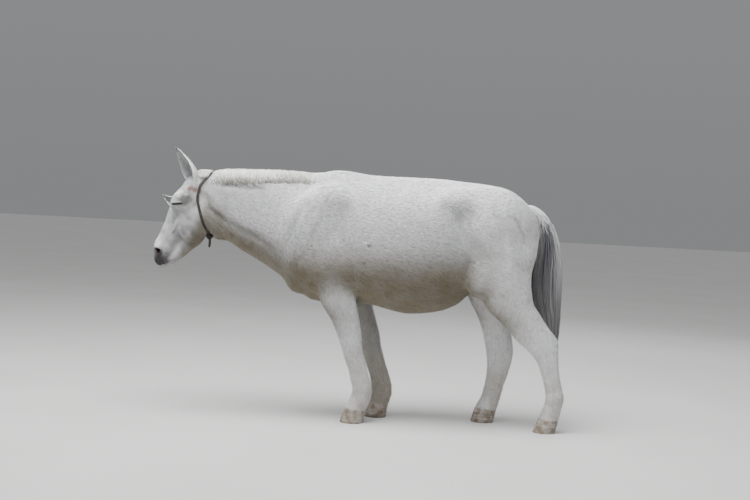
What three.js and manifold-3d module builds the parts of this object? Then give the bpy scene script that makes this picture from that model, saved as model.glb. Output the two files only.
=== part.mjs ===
// A standing grey mule, life size, at rest. Millimetres, +Z up, nose towards -X, its left side
// towards -Y, with the origin on the floor below the middle of the animal.

import * as THREE from 'three';
import * as BufferGeometryUtils from 'three/addons/utils/BufferGeometryUtils.js';
import Module from 'manifold-3d';

const wasm = await Module();
wasm.setup();

// The space that touching pieces keep between them
const GAP = 0.3;

// Trunk and neck, nose to tail: place, belly, back, half width, and how much the back narrows
const TRUNK = [
  [-815, 935, 1165, 62, 0.1],
  [-735, 875, 1205, 80, 0.2],
  [-655, 860, 1218, 92, 0.3],
  [-585, 822, 1221, 101, 0.35],
  [-500, 776, 1223, 114, 0.42],
  [-430, 735, 1224, 138, 0.5],
  [-350, 682, 1223, 168, 0.5],
  [-240, 602, 1221, 186, 0.45],
  [-115, 586, 1241, 196, 0.42],
  [60, 583, 1225, 226, 0.25],
  [245, 549, 1224, 258, 0.12],
  [395, 563, 1223, 254, 0.08],
  [485, 597, 1217, 238, 0],
  [545, 645, 1213, 226, -0.05],
  [620, 712, 1207, 214, -0.1],
  [715, 770, 1190, 192, -0.15],
  [800, 850, 1142, 156, -0.15],
  [850, 905, 1080, 118, -0.1],
  [880, 955, 1015, 68, 0],
  [890, 975, 990, 30, 0],
];

// Muscles that stand out of the trunk on both sides: middle, radii, lean and softness of the edge
const MUSCLES = [
  { name: 'shoulder blade', at: [-222, 104, 960], radii: [118, 66, 215], lean: -28, blend: 80 },
  { name: 'upper arm', at: [-110, 145, 800], radii: [118, 52, 105], lean: 0, blend: 55 },
  { name: 'shoulder point', at: [-318, 98, 815], radii: [58, 62, 66], lean: 0, blend: 55 },
  { name: 'breast', at: [-300, 52, 725], radii: [62, 66, 90], lean: 0, blend: 45 },
  { name: 'haunch', at: [650, 118, 985], radii: [200, 106, 205], lean: 0, blend: 60 },
  { name: 'hip bone', at: [470, 150, 1105], radii: [75, 58, 62], lean: 0, blend: 80 },
  { name: 'buttock', at: [800, 78, 960], radii: [84, 70, 135], lean: 0, blend: 50 },
  { name: 'stifle', at: [592, 158, 745], radii: [70, 58, 88], lean: 0, blend: 50 },
];
const LEG_BLEND = 42;

// Legs, from the ground up: height, front, back, half width, and distance from the middle plane
const LEGS = {
  foreleg_left: {
    side: -1,
    top: 738,
    rows: [
      [-12, -56, 61, 55, 110],
      [0, -52, 63, 53, 110],
      [70, -31, 76, 45, 111],
      [95, -20, 85, 41, 111],
      [130, -3, 96, 39, 112],
      [170, 2, 97, 40, 113],
      [210, -8, 90, 34, 114],
      [265, -22, 73, 33, 116],
      [320, -45, 57, 38, 118],
      [375, -62, 42, 44, 120],
      [440, -87, 35, 43, 124],
      [515, -124, 22, 47, 130],
      [585, -171, 6, 52, 137],
      [640, -195, -8, 55, 139],
      [705, -214, -38, 57, 138],
      [820, -240, -5, 58, 128],
    ],
    cut: [[-240, 738], [-22, 738], [34, 550], [-190, 550]],
  },
  foreleg_right: {
    side: 1,
    top: 738,
    rows: [
      [-12, 60, 176, 55, 110],
      [0, 64, 178, 53, 110],
      [70, 82, 190, 45, 111],
      [95, 90, 196, 41, 111],
      [130, 98, 203, 39, 112],
      [165, 95, 200, 40, 113],
      [205, 86, 190, 34, 114],
      [260, 66, 170, 33, 116],
      [310, 48, 154, 38, 118],
      [365, 30, 138, 43, 120],
      [415, 14, 129, 42, 123],
      [515, -30, 100, 47, 130],
      [575, -62, 80, 52, 136],
      [640, -95, 60, 55, 138],
      [705, -135, 42, 57, 138],
      [820, -200, 20, 58, 128],
    ],
    cut: [[-168, 738], [58, 738], [112, 550], [-82, 550]],
  },
  hindleg_left: {
    side: -1,
    top: 780,
    rows: [
      [-12, 897, 1011, 53, 119],
      [0, 902, 1014, 51, 119],
      [70, 930, 1030, 44, 119],
      [95, 937, 1034, 41, 119],
      [140, 953, 1043, 38, 120],
      [180, 957, 1047, 39, 121],
      [230, 948, 1035, 33, 122],
      [300, 925, 1020, 35, 123],
      [355, 900, 1012, 41, 124],
      [410, 850, 1009, 46, 124],
      [455, 796, 1003, 48, 124],
      [520, 735, 952, 54, 125],
      [590, 655, 902, 65, 127],
      [630, 622, 876, 71, 129],
      [680, 585, 863, 78, 129],
      [740, 538, 856, 85, 129],
      [790, 518, 858, 90, 127],
      [870, 505, 872, 96, 122],
      [960, 500, 866, 88, 116],
    ],
    cut: [[486, 780], [1200, 780], [1200, -30], [540, -30], [540, 560], [556, 655]],
  },
  hindleg_right: {
    side: 1,
    top: 780,
    rows: [
      [-12, 609, 726, 53, 119],
      [0, 612, 728, 51, 119],
      [70, 630, 742, 44, 119],
      [90, 640, 747, 41, 119],
      [130, 660, 757, 38, 120],
      [165, 668, 766, 39, 121],
      [205, 676, 775, 34, 122],
      [250, 681, 790, 33, 122],
      [310, 680, 806, 36, 123],
      [365, 672, 813, 43, 124],
      [410, 662, 807, 47, 124],
      [455, 651, 798, 49, 124],
      [500, 636, 788, 53, 125],
      [560, 608, 786, 61, 127],
      [615, 576, 812, 70, 129],
      [700, 538, 826, 82, 129],
      [790, 508, 842, 90, 127],
      [870, 500, 852, 96, 122],
      [960, 498, 862, 88, 116],
    ],
    cut: [[486, 780], [1200, 780], [1200, -30], [540, -30], [540, 560], [556, 655]],
  },
};

// Below this height the space between the forelegs is empty, so each leg is whole there
const BRISKET = 556;
const BRISKET_BACK = 112;
// The forelegs leave the chest outside this distance from the middle plane
const CHEST_FLOOR = 82;
// How far a leg is kept below its cut while the torso is shaped
const STUMP = 80;
// Coronet, the top of the hoof: height at the front and at the back of the foot
const CORONET = { front: 80, back: 58, reach: 70 };

// The head's own frame: s runs from the poll to the muzzle, t towards the face
const HEAD = { x: -815, z: 1150, lean: THREE.MathUtils.degToRad(24) };
// Skull and upper jaw: place, underside, face, half width, and how much the face narrows
const SKULL = [
  [-42, -60, 12, 38, 0],
  [-25, -66, 33, 56, 0],
  [27, -70, 51, 78, 0],
  [75, -72, 69, 90, -0.05],
  [120, -72, 81, 97, 0],
  [160, -70, 76, 91, 0.12],
  [216, -66, 67, 76, 0.28],
  [270, -62, 61, 65, 0.32],
  [333, -58, 59, 56, 0.25],
  [370, -50, 60, 54, 0.12],
  [405, -40, 49, 53, 0.05],
  [430, -32, 34, 48, 0],
  [450, -24, 17, 38, 0],
  [463, -18, 2, 22, 0],
];
// Lower jaw, in the same frame
const JAW = [
  [40, -130, -30, 50, 0],
  [120, -150, -20, 70, -0.15],
  [216, -156, -20, 70, -0.1],
  [270, -147, -20, 57, 0],
  [333, -118, -20, 47, 0],
  [370, -103, -30, 44, 0],
  [405, -82, -30, 42, 0],
  [420, -63, -28, 38, 0],
  [434, -48, -26, 31, 0],
  [445, -38, -26, 22, 0],
];
// Soft forms of the head on both sides: middle and radii along s, y and t
const HEAD_FORMS = [
  { name: 'cheek', at: [195, 62, -78], radii: [98, 27, 76], blend: 20 },
  { name: 'orbit', at: [130, 78, 40], radii: [48, 25, 34], blend: 18 },
  { name: 'temple', at: [38, 46, 28], radii: [52, 34, 28], blend: 22 },
  { name: 'facial crest', at: [212, 62, -4], radii: [72, 12, 12], blend: 16 },
  { name: 'nostril wing', at: [392, 38, 20], radii: [30, 18, 24], blend: 14 },
  { name: 'upper lip', at: [438, 17, 0], radii: [21, 26, 23], blend: 14 },
  { name: 'chin', at: [407, 0, -50], radii: [25, 32, 26], blend: 14 },
  { name: 'ear root', at: [20, 54, 2], radii: [38, 26, 30], blend: 20 },
];
const JAW_BLEND = 20;
const HEAD_BLEND = 34;

// Where thin cuts part head, neck and torso: one point at the top and one at the bottom of each
const HEAD_CUT = { top: [-800, 1218], bottom: [-761, 859] };
const NECK_CUT = { top: [-215, 1235], bottom: [-360, 740] };

// Eye, in the head's frame, with the slit between its nearly closed lids
const EYE = { s: 143, t: 36, y: 80, radius: 20 };
const SLIT = { length: 48, height: 9, tilt: 6 };
const LIDS = { radii: [31, 25, 22], sunk: 2 };

// Nostril and mouth, in the head's frame
const NOSTRIL = { s: 396, t: 20, y: 53, radii: [15, 13, 17], tilt: 0 };
const MOUTH = { corner: [414, -34], front: [476, -24], opening: 1.6 };

// Ears: root and tip, the place that the ear bends towards between them, and where it opens to
const EARS = {
  ear_left: {
    base: [-797, -46, 1087],
    bend: [-857, -62, 1199],
    tip: [-927, -92, 1312],
    facing: [-0.55, -0.83, -0.1],
  },
  ear_right: {
    base: [-812, 48, 1112],
    bend: [-943, 172, 982],
    tip: [-1021, 192, 1073],
    facing: [-0.5, -0.75, -0.2],
  },
};
// Along an ear: share of its length, radius, angle that the shell spans, and its thickness
const EAR_SHELL = [
  [0, 20, 340, 10],
  [0.12, 24, 330, 10],
  [0.25, 28, 300, 9],
  [0.43, 38, 235, 8],
  [0.64, 34, 195, 6],
  [0.86, 19, 170, 5],
  [1, 4, 140, 3],
];

// Neck strap: its place along X at each height, and its section
const STRAP = {
  route: [
    [865, -736],
    [885, -745],
    [950, -775],
    [1025, -800],
    [1065, -808],
    [1095, -804],
    [1135, -794],
    [1185, -757],
    [1215, -738],
  ],
  middle: 1045,
  width: 13,
  proud: 4.5,
  sunk: 4,
  steps: 34,
};
const KNOT = { radii: [22, 15, 15], end: [-742, 824], endWidth: 13, endThickness: 5 };

// Mane: its ends, the pad of short hair under it, and the height of its lower edge
const MANE = { from: -724, to: -212, thickness: 11, edge: 4, sunk: 18, over: -20 };
const MANE_EDGE = [
  [-724, 1150],
  [-630, 1147],
  [-540, 1150],
  [-470, 1166],
  [-410, 1186],
  [-310, 1207],
  [-212, 1220],
];
// Rows of mane locks: how many, the turn from the crest at the root, how far down they reach
// between crest and edge, how far they stand off the skin, half width and half thickness
const MANE_LOCKS = [
  { count: 8, root: 0.1, reach: [0.98, 1.1], off: 5, half: 47, thick: 10 },
  { count: 9, root: -0.16, reach: [0.6, 0.78], off: 11, half: 42, thick: 11 },
];
// How far a mane lock is swept back by its tip
const MANE_SWEEP = [3, 14];

// Forelock between the ears: a low mound under locks that fan out over it
const FORELOCK = { at: [-778, 0, 1180], radii: [30, 26, 22], lean: -32, turns: 8 };
const FORELOCK_LOCKS = {
  count: 5,
  from: [-760, 0, 1194],
  top: 29,
  reach: 62,
  fan: 56,
  half: 20,
  thick: 10,
};

// Tail, from its root down: place, height, half thickness and half width
const TAIL = [
  [792, 1082, 24, 22],
  [845, 1090, 26, 25],
  [892, 1060, 30, 30],
  [928, 1000, 42, 37],
  [944, 920, 56, 45],
  [947, 830, 72, 52],
  [946, 730, 79, 55],
  [956, 630, 70, 52],
  [976, 540, 50, 45],
  [982, 450, 38, 36],
  [986, 370, 24, 24],
  [990, 300, 7, 8],
];
// The dock inside the tail: how far down it runs, and its share of the tail's own thickness
const DOCK = { end: 0.42, share: 0.72, tip: 0.3 };
// Rings of tail locks round the dock: how many, where their roots and tips lie along the tail,
// how far out they run, half width and half thickness
const TAIL_LOCKS = [
  { count: 7, root: [0.2, 0.4], tip: [0.88, 1], out: 0.5, half: 34, thick: 17 },
  { count: 9, root: [0.1, 0.28], tip: [0.66, 0.9], out: 0.8, half: 35, thick: 15 },
];

const COLOURS = {
  coat: 0xb9b6ad,
  pale: 0xc9c5b8,
  muzzle: 0x77736f,
  hair: 0x8d8a83,
  mane: 0xc6bda4,
  horn: 0x8c8375,
  eye: 0x14100e,
  strap: 0x26221f,
};

// A smooth curve through one column of a table, held at its end values beyond the table
const profile = (rows, column) => {
  const places = rows.map((row) => row[0]);
  const values = rows.map((row) => row[column]);
  const last = rows.length - 1;
  const slopes = values.map((value, i) => {
    const before = Math.max(i - 1, 0);
    const after = Math.min(i + 1, last);
    return (values[after] - values[before]) / (places[after] - places[before]);
  });
  return (place) => {
    if (place <= places[0]) return values[0];
    if (place >= places[last]) return values[last];
    let i = 0;
    while (place > places[i + 1]) i += 1;
    const span = places[i + 1] - places[i];
    const u = (place - places[i]) / span;
    const rise = values[i + 1] - values[i];
    const a = slopes[i] * span - rise;
    const b = rise - slopes[i + 1] * span;
    return values[i] + u * rise + u * (1 - u) * (a * (1 - u) + b * u);
  };
};

// A form along s with oval sections: below zero inside, about the distance in millimetres outside
const loft = (rows, { taperColumn = 0, sideColumn = 0 } = {}) => {
  const low = profile(rows, 1);
  const high = profile(rows, 2);
  const half = profile(rows, 3);
  const taper = taperColumn ? profile(rows, taperColumn) : () => 0;
  const side = sideColumn ? profile(rows, sideColumn) : () => 0;
  const first = rows[0][0];
  const last = rows[rows.length - 1][0];
  return (s, t, y) => {
    const middle = (low(s) + high(s)) / 2;
    const reach = (high(s) - low(s)) / 2;
    const rise = (t - middle) / reach;
    const width = half(s) * (1 - taper(s) * THREE.MathUtils.clamp(rise, -1, 1));
    const across = y - side(s);
    const share = Math.max(Math.hypot(rise, across / width), 1e-3);
    const wall = Math.max(Math.hypot(t - middle, across), 1e-3 * reach) * (1 - 1 / share);
    return Math.max(wall, first - s, s - last);
  };
};

// An oval lump with radii along x, y and z, turned by its lean in the side plane
const lump = ({ at, radii, lean = 0 }) => {
  const angle = THREE.MathUtils.degToRad(lean);
  const c = Math.cos(angle);
  const s = Math.sin(angle);
  return (x, y, z) => {
    const u = c * (x - at[0]) + s * (z - at[2]);
    const w = c * (z - at[2]) - s * (x - at[0]);
    const v = y - at[1];
    const share = Math.max(Math.hypot(u / radii[0], v / radii[1], w / radii[2]), 1e-3);
    return Math.max(Math.hypot(u, v, w), 1e-2) * (1 - 1 / share);
  };
};

const smoothMin = (a, b, blend) => {
  const share = Math.max(blend - Math.abs(a - b), 0) / blend;
  return Math.min(a, b) - (share * share * blend) / 4;
};

const toHead = (x, z) => {
  const dx = x - HEAD.x;
  const dz = z - HEAD.z;
  const s = -dx * Math.sin(HEAD.lean) - dz * Math.cos(HEAD.lean);
  const t = -dx * Math.cos(HEAD.lean) + dz * Math.sin(HEAD.lean);
  return [s, t];
};

const fromHead = (s, t, y = 0) => {
  const x = HEAD.x - s * Math.sin(HEAD.lean) - t * Math.cos(HEAD.lean);
  const z = HEAD.z - s * Math.cos(HEAD.lean) + t * Math.sin(HEAD.lean);
  return new THREE.Vector3(x, y, z);
};

// The flesh of the whole animal as one form, with the legs whole or cut to stumps
const trunkForm = loft(TRUNK, { taperColumn: 4 });
const skullForm = loft(SKULL, { taperColumn: 4 });
const jawForm = loft(JAW, { taperColumn: 4 });
const muscles = MUSCLES.map((muscle) => ({ form: lump(muscle), blend: muscle.blend }));
const headForms = HEAD_FORMS.map((part) => ({ form: lump(part), blend: part.blend }));
const legForms = Object.values(LEGS).map((leg) => ({
  form: loft(leg.rows, { sideColumn: 4 }),
  side: leg.side,
  stump: leg.top - STUMP,
}));

const headForm = (s, t, side) => {
  let skin = smoothMin(skullForm(s, t, side), jawForm(s, t, side), JAW_BLEND);
  for (const part of headForms) skin = smoothMin(skin, part.form(s, side, t), part.blend);
  return skin;
};

const flesh = (stumps) => (x, y, z) => {
  const side = Math.abs(y);
  let skin = trunkForm(x, z, y);
  for (const muscle of muscles) skin = smoothMin(skin, muscle.form(x, side, z), muscle.blend);
  for (const leg of legForms) {
    const limb = leg.form(z, x, y * leg.side);
    skin = smoothMin(skin, stumps ? Math.max(limb, leg.stump - z) : limb, LEG_BLEND);
  }
  if (x < -560) {
    const [s, t] = toHead(x, z);
    skin = smoothMin(skin, headForm(s, t, side), HEAD_BLEND);
  }
  return skin;
};
const wholeFlesh = flesh(false);
const stumpedFlesh = flesh(true);

// How far a ray from inside runs before it leaves the form, at most its reach
const STRIDE = 7;
const cast = (form, from, way, reach, rise = 0) => {
  const at = (r) => form(from.x + way.x * r, from.y + way.y * r, from.z + way.z * r) - rise;
  let inside = 0;
  let outside = STRIDE;
  while (outside < reach && at(outside) < 0) {
    inside = outside;
    outside += STRIDE;
  }
  if (outside >= reach) return reach;
  for (let i = 0; i < 14; i += 1) {
    const middle = (inside + outside) / 2;
    if (at(middle) < 0) inside = middle;
    else outside = middle;
  }
  return (inside + outside) / 2;
};

// A closed mesh from rings of points, each end closed to a point of its own
const ringMesh = (rings, start, end) => {
  const count = rings[0].length;
  const points = [...rings.flat(), start, end];
  const faces = [];
  for (let i = 0; i + 1 < rings.length; i += 1) {
    for (let j = 0; j < count; j += 1) {
      const k = (j + 1) % count;
      const a = i * count + j;
      const b = i * count + k;
      faces.push(a, b, b + count, a, b + count, a + count);
    }
  }
  const tail = (rings.length - 1) * count;
  for (let j = 0; j < count; j += 1) {
    const k = (j + 1) % count;
    faces.push(points.length - 2, k, j);
    faces.push(points.length - 1, tail + j, tail + k);
  }
  const geometry = new THREE.BufferGeometry().setFromPoints(points);
  geometry.setIndex(faces);
  return geometry;
};

// A skin read off a form: rings of rays about stations that each have a centre, an axis, an up
// direction and a tilt towards the axis, which rounds an end off
const skinMesh = (form, stations, { count, reach, rise = 0, round = [false, false] }) => {
  const pointAt = (station, way) => {
    const r = cast(form, station.centre, way, reach, rise);
    return station.centre.clone().addScaledVector(way, r);
  };
  const rings = stations.map((station) => {
    const side = station.axis.clone().cross(station.up);
    const tilt = THREE.MathUtils.degToRad(station.tilt ?? 0);
    return Array.from({ length: count }, (_, j) => {
      const turn = (j / count) * 2 * Math.PI;
      const way = station.up.clone().multiplyScalar(Math.cos(turn) * Math.cos(tilt));
      way.addScaledVector(side, Math.sin(turn) * Math.cos(tilt));
      way.addScaledVector(station.axis, Math.sin(tilt));
      return pointAt(station, way);
    });
  });
  const first = stations[0];
  const last = stations[stations.length - 1];
  const start = round[0] ? pointAt(first, first.axis.clone().negate()) : first.centre.clone();
  const end = round[1] ? pointAt(last, last.axis.clone()) : last.centre.clone();
  return ringMesh(rings, start, end);
};

// A seeded source of numbers between 0 and 1
const seeded = (seed) => {
  let state = seed;
  return () => {
    state = (state * 1664525 + 1013904223) % 4294967296;
    return state / 4294967296;
  };
};

const solidOf = (geometry) => {
  const bare = geometry.clone();
  bare.deleteAttribute('normal');
  bare.deleteAttribute('uv');
  const merged = BufferGeometryUtils.mergeVertices(bare, 1e-4);
  const vertProperties = Float32Array.from(merged.attributes.position.array);
  const triVerts = Uint32Array.from(merged.index.array);
  return new wasm.Manifold(new wasm.Mesh({ numProp: 3, vertProperties, triVerts }));
};

const geometryOf = (solid) => {
  const mesh = solid.getMesh();
  const geometry = new THREE.BufferGeometry();
  const positions = Float32Array.from(mesh.vertProperties);
  geometry.setAttribute('position', new THREE.BufferAttribute(positions, 3));
  geometry.setIndex(new THREE.BufferAttribute(Uint32Array.from(mesh.triVerts), 1));
  return geometry;
};

// The largest closed body of a solid that cuts may have left in pieces
const largest = (solid) => {
  const pieces = solid.decompose();
  return pieces.reduce((best, piece) => (piece.volume() > best.volume() ? piece : best));
};

// The corners of an outline moved outwards by a small step, or inwards where the step is negative
const grownOutline = (outline, step) => {
  const count = outline.length;
  const turn = THREE.ShapeUtils.isClockWise(outline.map(([x, z]) => new THREE.Vector2(x, z))) ? 1 : -1;
  return outline.map(([x, z], i) => {
    const [px, pz] = outline[(i + count - 1) % count];
    const [nx, nz] = outline[(i + 1) % count];
    const before = new THREE.Vector2(x - px, z - pz).normalize();
    const after = new THREE.Vector2(nx - x, nz - z).normalize();
    const bisector = new THREE.Vector2(-before.y - after.y, before.x + after.x).normalize();
    const scale = (turn * step) / (bisector.x * -before.y + bisector.y * before.x);
    return [x + bisector.x * scale, z + bisector.y * scale];
  });
};

// A prism across the body: an outline in the side plane, from one Y to another
const prism = (outline, from, to, grow = 0) => {
  const corners = grownOutline(outline, grow).map(([x, z]) => new THREE.Vector2(x, z));
  const geometry = new THREE.ExtrudeGeometry(new THREE.Shape(corners), {
    depth: to - from + 2 * grow,
    bevelEnabled: false,
  });
  geometry.rotateX(Math.PI / 2).translate(0, to + grow, 0);
  return solidOf(geometry);
};

// The half of space behind a slanted cut, towards the tail, set back by half a gap
const FAR = 2500;
const behindCut = ({ top, bottom }, shift) => {
  const slope = (top[0] - bottom[0]) / (top[1] - bottom[1]);
  const xAt = (z) => bottom[0] + slope * (z - bottom[1]) + shift;
  return prism([[xAt(-FAR), -FAR], [FAR * 2, -FAR], [FAR * 2, FAR], [xAt(FAR), FAR]], -FAR, FAR);
};

// Both sides of the body, or the one side of a leg, cut by one outline
const mirrored = (side, near, far) => (side < 0 ? [-far, -near] : [near, far]);

const legRegion = (name, grow) => {
  const leg = LEGS[name];
  if (name.startsWith('hind')) return prism(leg.cut, ...mirrored(leg.side, GAP / 2, FAR), grow);
  const upper = prism(leg.cut, ...mirrored(leg.side, CHEST_FLOOR, FAR), grow);
  const open = [
    [-400, BRISKET],
    [BRISKET_BACK, BRISKET],
    [400, 330],
    [400, -30],
    [-400, -30],
  ];
  return upper.add(prism(open, ...mirrored(leg.side, 3, FAR), grow));
};

const X_AXIS = new THREE.Vector3(1, 0, 0);
const DOWN = new THREE.Vector3(0, 0, -1);
const UP = new THREE.Vector3(0, 0, 1);

const torsoSkin = (rise) => {
  const back = profile(TRUNK, 2);
  const belly = profile(TRUNK, 1);
  const station = (x, tilt = 0) => ({
    centre: new THREE.Vector3(x, 0, (back(x) + Math.max(belly(x), 640)) / 2),
    axis: X_AXIS,
    up: UP,
    tilt,
  });
  const places = [-235, -205, -170, -130, -85, -40, 5, 50, 95, 145, 200, 255, 310, 360];
  places.push(405, 445, 480, 515, 550, 590, 630, 670, 705, 735);
  const stations = [
    ...[70, 52, 36, 20, 8].map((tilt) => station(-255, -tilt)),
    ...places.map((x) => station(x)),
    ...[9, 20, 31, 42, 53, 65, 78].map((tilt) => station(742, tilt)),
  ];
  return solidOf(skinMesh(stumpedFlesh, stations, { count: 28, reach: 620, rise, round: [true, true] }));
};

const neckSkin = (rise) => {
  const back = profile(TRUNK, 2);
  const belly = profile(TRUNK, 1);
  const places = [-850, -815, -785, -755, -720, -680, -635, -590, -545, -500, -455, -415, -380];
  places.push(-345, -300, -250, -200, -150);
  const stations = places.map((x) => ({
    centre: new THREE.Vector3(x, 0, (back(x) + Math.max(belly(x), 720)) / 2),
    axis: X_AXIS,
    up: UP,
  }));
  return solidOf(skinMesh(stumpedFlesh, stations, { count: 22, reach: 480, rise }));
};

const headSkin = (rise) => {
  const axis = fromHead(1, 0).sub(fromHead(0, 0));
  const up = fromHead(0, 1).sub(fromHead(0, 0));
  const face = profile(SKULL, 2);
  const jaw = profile(JAW, 1);
  const station = (s, tilt = 0) => ({
    centre: fromHead(s, s < 40 ? -14 : (face(s) + jaw(s)) / 2 + 6),
    axis,
    up,
    tilt,
  });
  const places = [20, 45, 70, 95, 118, 140, 165, 190, 218, 245, 272, 298, 322, 345, 366, 384];
  const stations = [
    ...[64, 42, 22].map((tilt) => station(8, -tilt)),
    ...places.map((s) => station(s)),
    ...[8, 20, 32, 44, 57, 72].map((tilt) => station(398, tilt)),
  ];
  return solidOf(skinMesh(wholeFlesh, stations, { count: 28, reach: 260, rise, round: [true, true] }));
};

const legSkin = (name) => {
  const leg = LEGS[name];
  const front = profile(leg.rows, 1);
  const back = profile(leg.rows, 2);
  const side = profile(leg.rows, 4);
  const heights = leg.rows.map((row) => row[0]).filter((z) => z >= 0 && z < leg.top - 20);
  const extra = [leg.top - 45, leg.top - 15, leg.top + 12, leg.top + 45, 545, 485, 345, 40, 20];
  const levels = [...heights, ...extra].sort((a, b) => b - a);
  const spaced = levels.filter((z, i) => i === 0 || levels[i - 1] - z > 9);
  const stations = spaced.map((z) => ({
    centre: new THREE.Vector3((front(z) + back(z)) / 2, side(z) * leg.side, z),
    axis: DOWN,
    up: X_AXIS,
  }));
  return solidOf(skinMesh(wholeFlesh, stations, { count: 16, reach: 250 }));
};

// A ball with its poles along Y, and any radii
const ball = (radii, across, around) => {
  const geometry = new THREE.SphereGeometry(1, around, across);
  return geometry.scale(radii[0], radii[1], radii[2]);
};

// The same small form on both sides of the head, placed and turned in the head's frame
const onHead = (geometry, { s, t, y }, tilt, side) => {
  const turned = geometry.clone().rotateY(-THREE.MathUtils.degToRad(tilt));
  const at = fromHead(s, t, y * side);
  return solidOf(turned.translate(at.x, at.y, at.z));
};

// A lens outline along X, extruded across Y
const lens = (length, height, depth) => {
  const shape = new THREE.Shape();
  shape.moveTo(-length / 2, 0);
  shape.quadraticCurveTo(0, height, length / 2, 0);
  shape.quadraticCurveTo(0, -height, -length / 2, 0);
  const geometry = new THREE.ExtrudeGeometry(shape, { depth, bevelEnabled: false, curveSegments: 6 });
  return geometry.rotateX(Math.PI / 2).translate(0, depth / 2, 0);
};

const lidsSolid = (side, grow = 0) => {
  const radii = LIDS.radii.map((radius) => radius + grow);
  return onHead(ball(radii, 8, 14), { ...EYE, y: EYE.y - LIDS.sunk }, 0, side);
};

const headSolid = () => {
  let head = headSkin(0).subtract(behindCut(HEAD_CUT, -GAP / 2));
  head = head.add(lidsSolid(-1)).add(lidsSolid(1));
  for (const side of [-1, 1]) {
    const room = EYE.radius + GAP;
    const socket = ball([room, room, room], 8, 12);
    const slit = lens(SLIT.length, SLIT.height, 60);
    const nostril = ball(NOSTRIL.radii, 6, 10);
    head = head.subtract(onHead(socket, EYE, 0, side));
    head = head.subtract(onHead(slit, { ...EYE, y: EYE.y + 36 }, SLIT.tilt, side));
    head = head.subtract(onHead(nostril, NOSTRIL, NOSTRIL.tilt, side));
  }
  const corner = fromHead(...MOUTH.corner);
  const front = fromHead(...MOUTH.front);
  const lips = [
    [corner.x, corner.z],
    [front.x, front.z - MOUTH.opening],
    [front.x, front.z + MOUTH.opening],
  ];
  return largest(head.subtract(prism(lips, -FAR, FAR)));
};

const eyeSolid = (side) => {
  const radii = [EYE.radius, EYE.radius, EYE.radius];
  return onHead(ball(radii, 8, 12), EYE, 0, side);
};

// One ear: a bent leaf rolled about its own length, closed along its edges and both ends
const earRings = ({ base, bend, tip, facing }) => {
  const middle = new THREE.QuadraticBezierCurve3(
    new THREE.Vector3(...base),
    new THREE.Vector3(...bend),
    new THREE.Vector3(...tip),
  );
  const radius = profile(EAR_SHELL, 1);
  const span = profile(EAR_SHELL, 2);
  const wall = profile(EAR_SHELL, 3);
  const steps = 9;
  const turns = 12;
  const rings = [];
  for (let i = 0; i <= steps; i += 1) {
    const u = i / steps;
    const centre = middle.getPoint(u);
    const axis = middle.getTangent(u);
    const open = new THREE.Vector3(...facing);
    open.addScaledVector(axis, -open.dot(axis)).normalize();
    const side = axis.clone().cross(open);
    const pointAt = (r, turn) => centre
      .clone()
      .addScaledVector(open, -Math.cos(turn) * r)
      .addScaledVector(side, Math.sin(turn) * r);
    const half = THREE.MathUtils.degToRad(span(u)) / 2;
    const ring = [];
    for (let j = 0; j <= turns; j += 1) ring.push(pointAt(radius(u), half * (2 * j / turns - 1)));
    for (let j = turns; j >= 0; j -= 1) {
      ring.push(pointAt(radius(u) - wall(u), half * (2 * j / turns - 1)));
    }
    rings.push(ring);
  }
  return rings;
};

// Ends of a rolled leaf are closed by quads between its outer and inner edge
const leafMesh = (rings) => {
  const count = rings[0].length;
  const faces = [];
  for (let i = 0; i + 1 < rings.length; i += 1) {
    for (let j = 0; j < count; j += 1) {
      const k = (j + 1) % count;
      const a = i * count + j;
      const b = i * count + k;
      faces.push(a, b + count, b, a, a + count, b + count);
    }
  }
  const last = (rings.length - 1) * count;
  for (let j = 0; j + 1 < count / 2; j += 1) {
    const m = count - 1 - j;
    faces.push(j, j + 1, m - 1, j, m - 1, m);
    faces.push(last + j, last + m - 1, last + j + 1, last + j, last + m, last + m - 1);
  }
  const geometry = new THREE.BufferGeometry().setFromPoints(rings.flat());
  geometry.setIndex(faces);
  return geometry;
};

const outward = (solid, geometry) => {
  if (solid.volume() > 0) return solid;
  const flipped = geometry.clone();
  const index = Array.from(flipped.index.array);
  for (let i = 0; i < index.length; i += 3) [index[i], index[i + 1]] = [index[i + 1], index[i]];
  flipped.setIndex(index);
  return solidOf(flipped);
};

const leafSolid = (rings) => {
  const geometry = leafMesh(rings);
  return outward(solidOf(geometry), geometry);
};

// The tail's middle line and its half sizes along it
const tailLine = new THREE.CatmullRomCurve3(TAIL.map(([x, z]) => new THREE.Vector3(x, 0, z)));
const tailShare = TAIL.map((_, i) => i / (TAIL.length - 1));
const tailThick = profile(TAIL.map((row, i) => [tailShare[i], row[2]]), 1);
const tailWide = profile(TAIL.map((row, i) => [tailShare[i], row[3]]), 1);

// A place in the tail: share of its length, share of its half size, and turn round it from behind
const inTail = (u, out, turn) => {
  const across = new THREE.Vector3(0, 1, 0).cross(tailLine.getTangent(u)).negate();
  const point = tailLine.getPoint(u).addScaledVector(across, Math.cos(turn) * tailThick(u) * out);
  return point.add(new THREE.Vector3(0, Math.sin(turn) * tailWide(u) * out, 0));
};

const dockSolid = () => {
  const count = 12;
  const steps = 9;
  const rings = Array.from({ length: steps + 1 }, (_, i) => {
    const share = i / steps;
    const size = THREE.MathUtils.lerp(DOCK.share, DOCK.tip, Math.max(share * 2 - 1, 0));
    const out = share < 0.25 ? THREE.MathUtils.lerp(1, size, share * 4) : size;
    return Array.from({ length: count }, (_, j) => {
      return inTail(DOCK.end * share, out, (j / count) * 2 * Math.PI);
    });
  });
  const geometry = ringMesh(rings, inTail(0, 0, 0), inTail(DOCK.end, 0, 0));
  return outward(solidOf(geometry), geometry);
};

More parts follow.
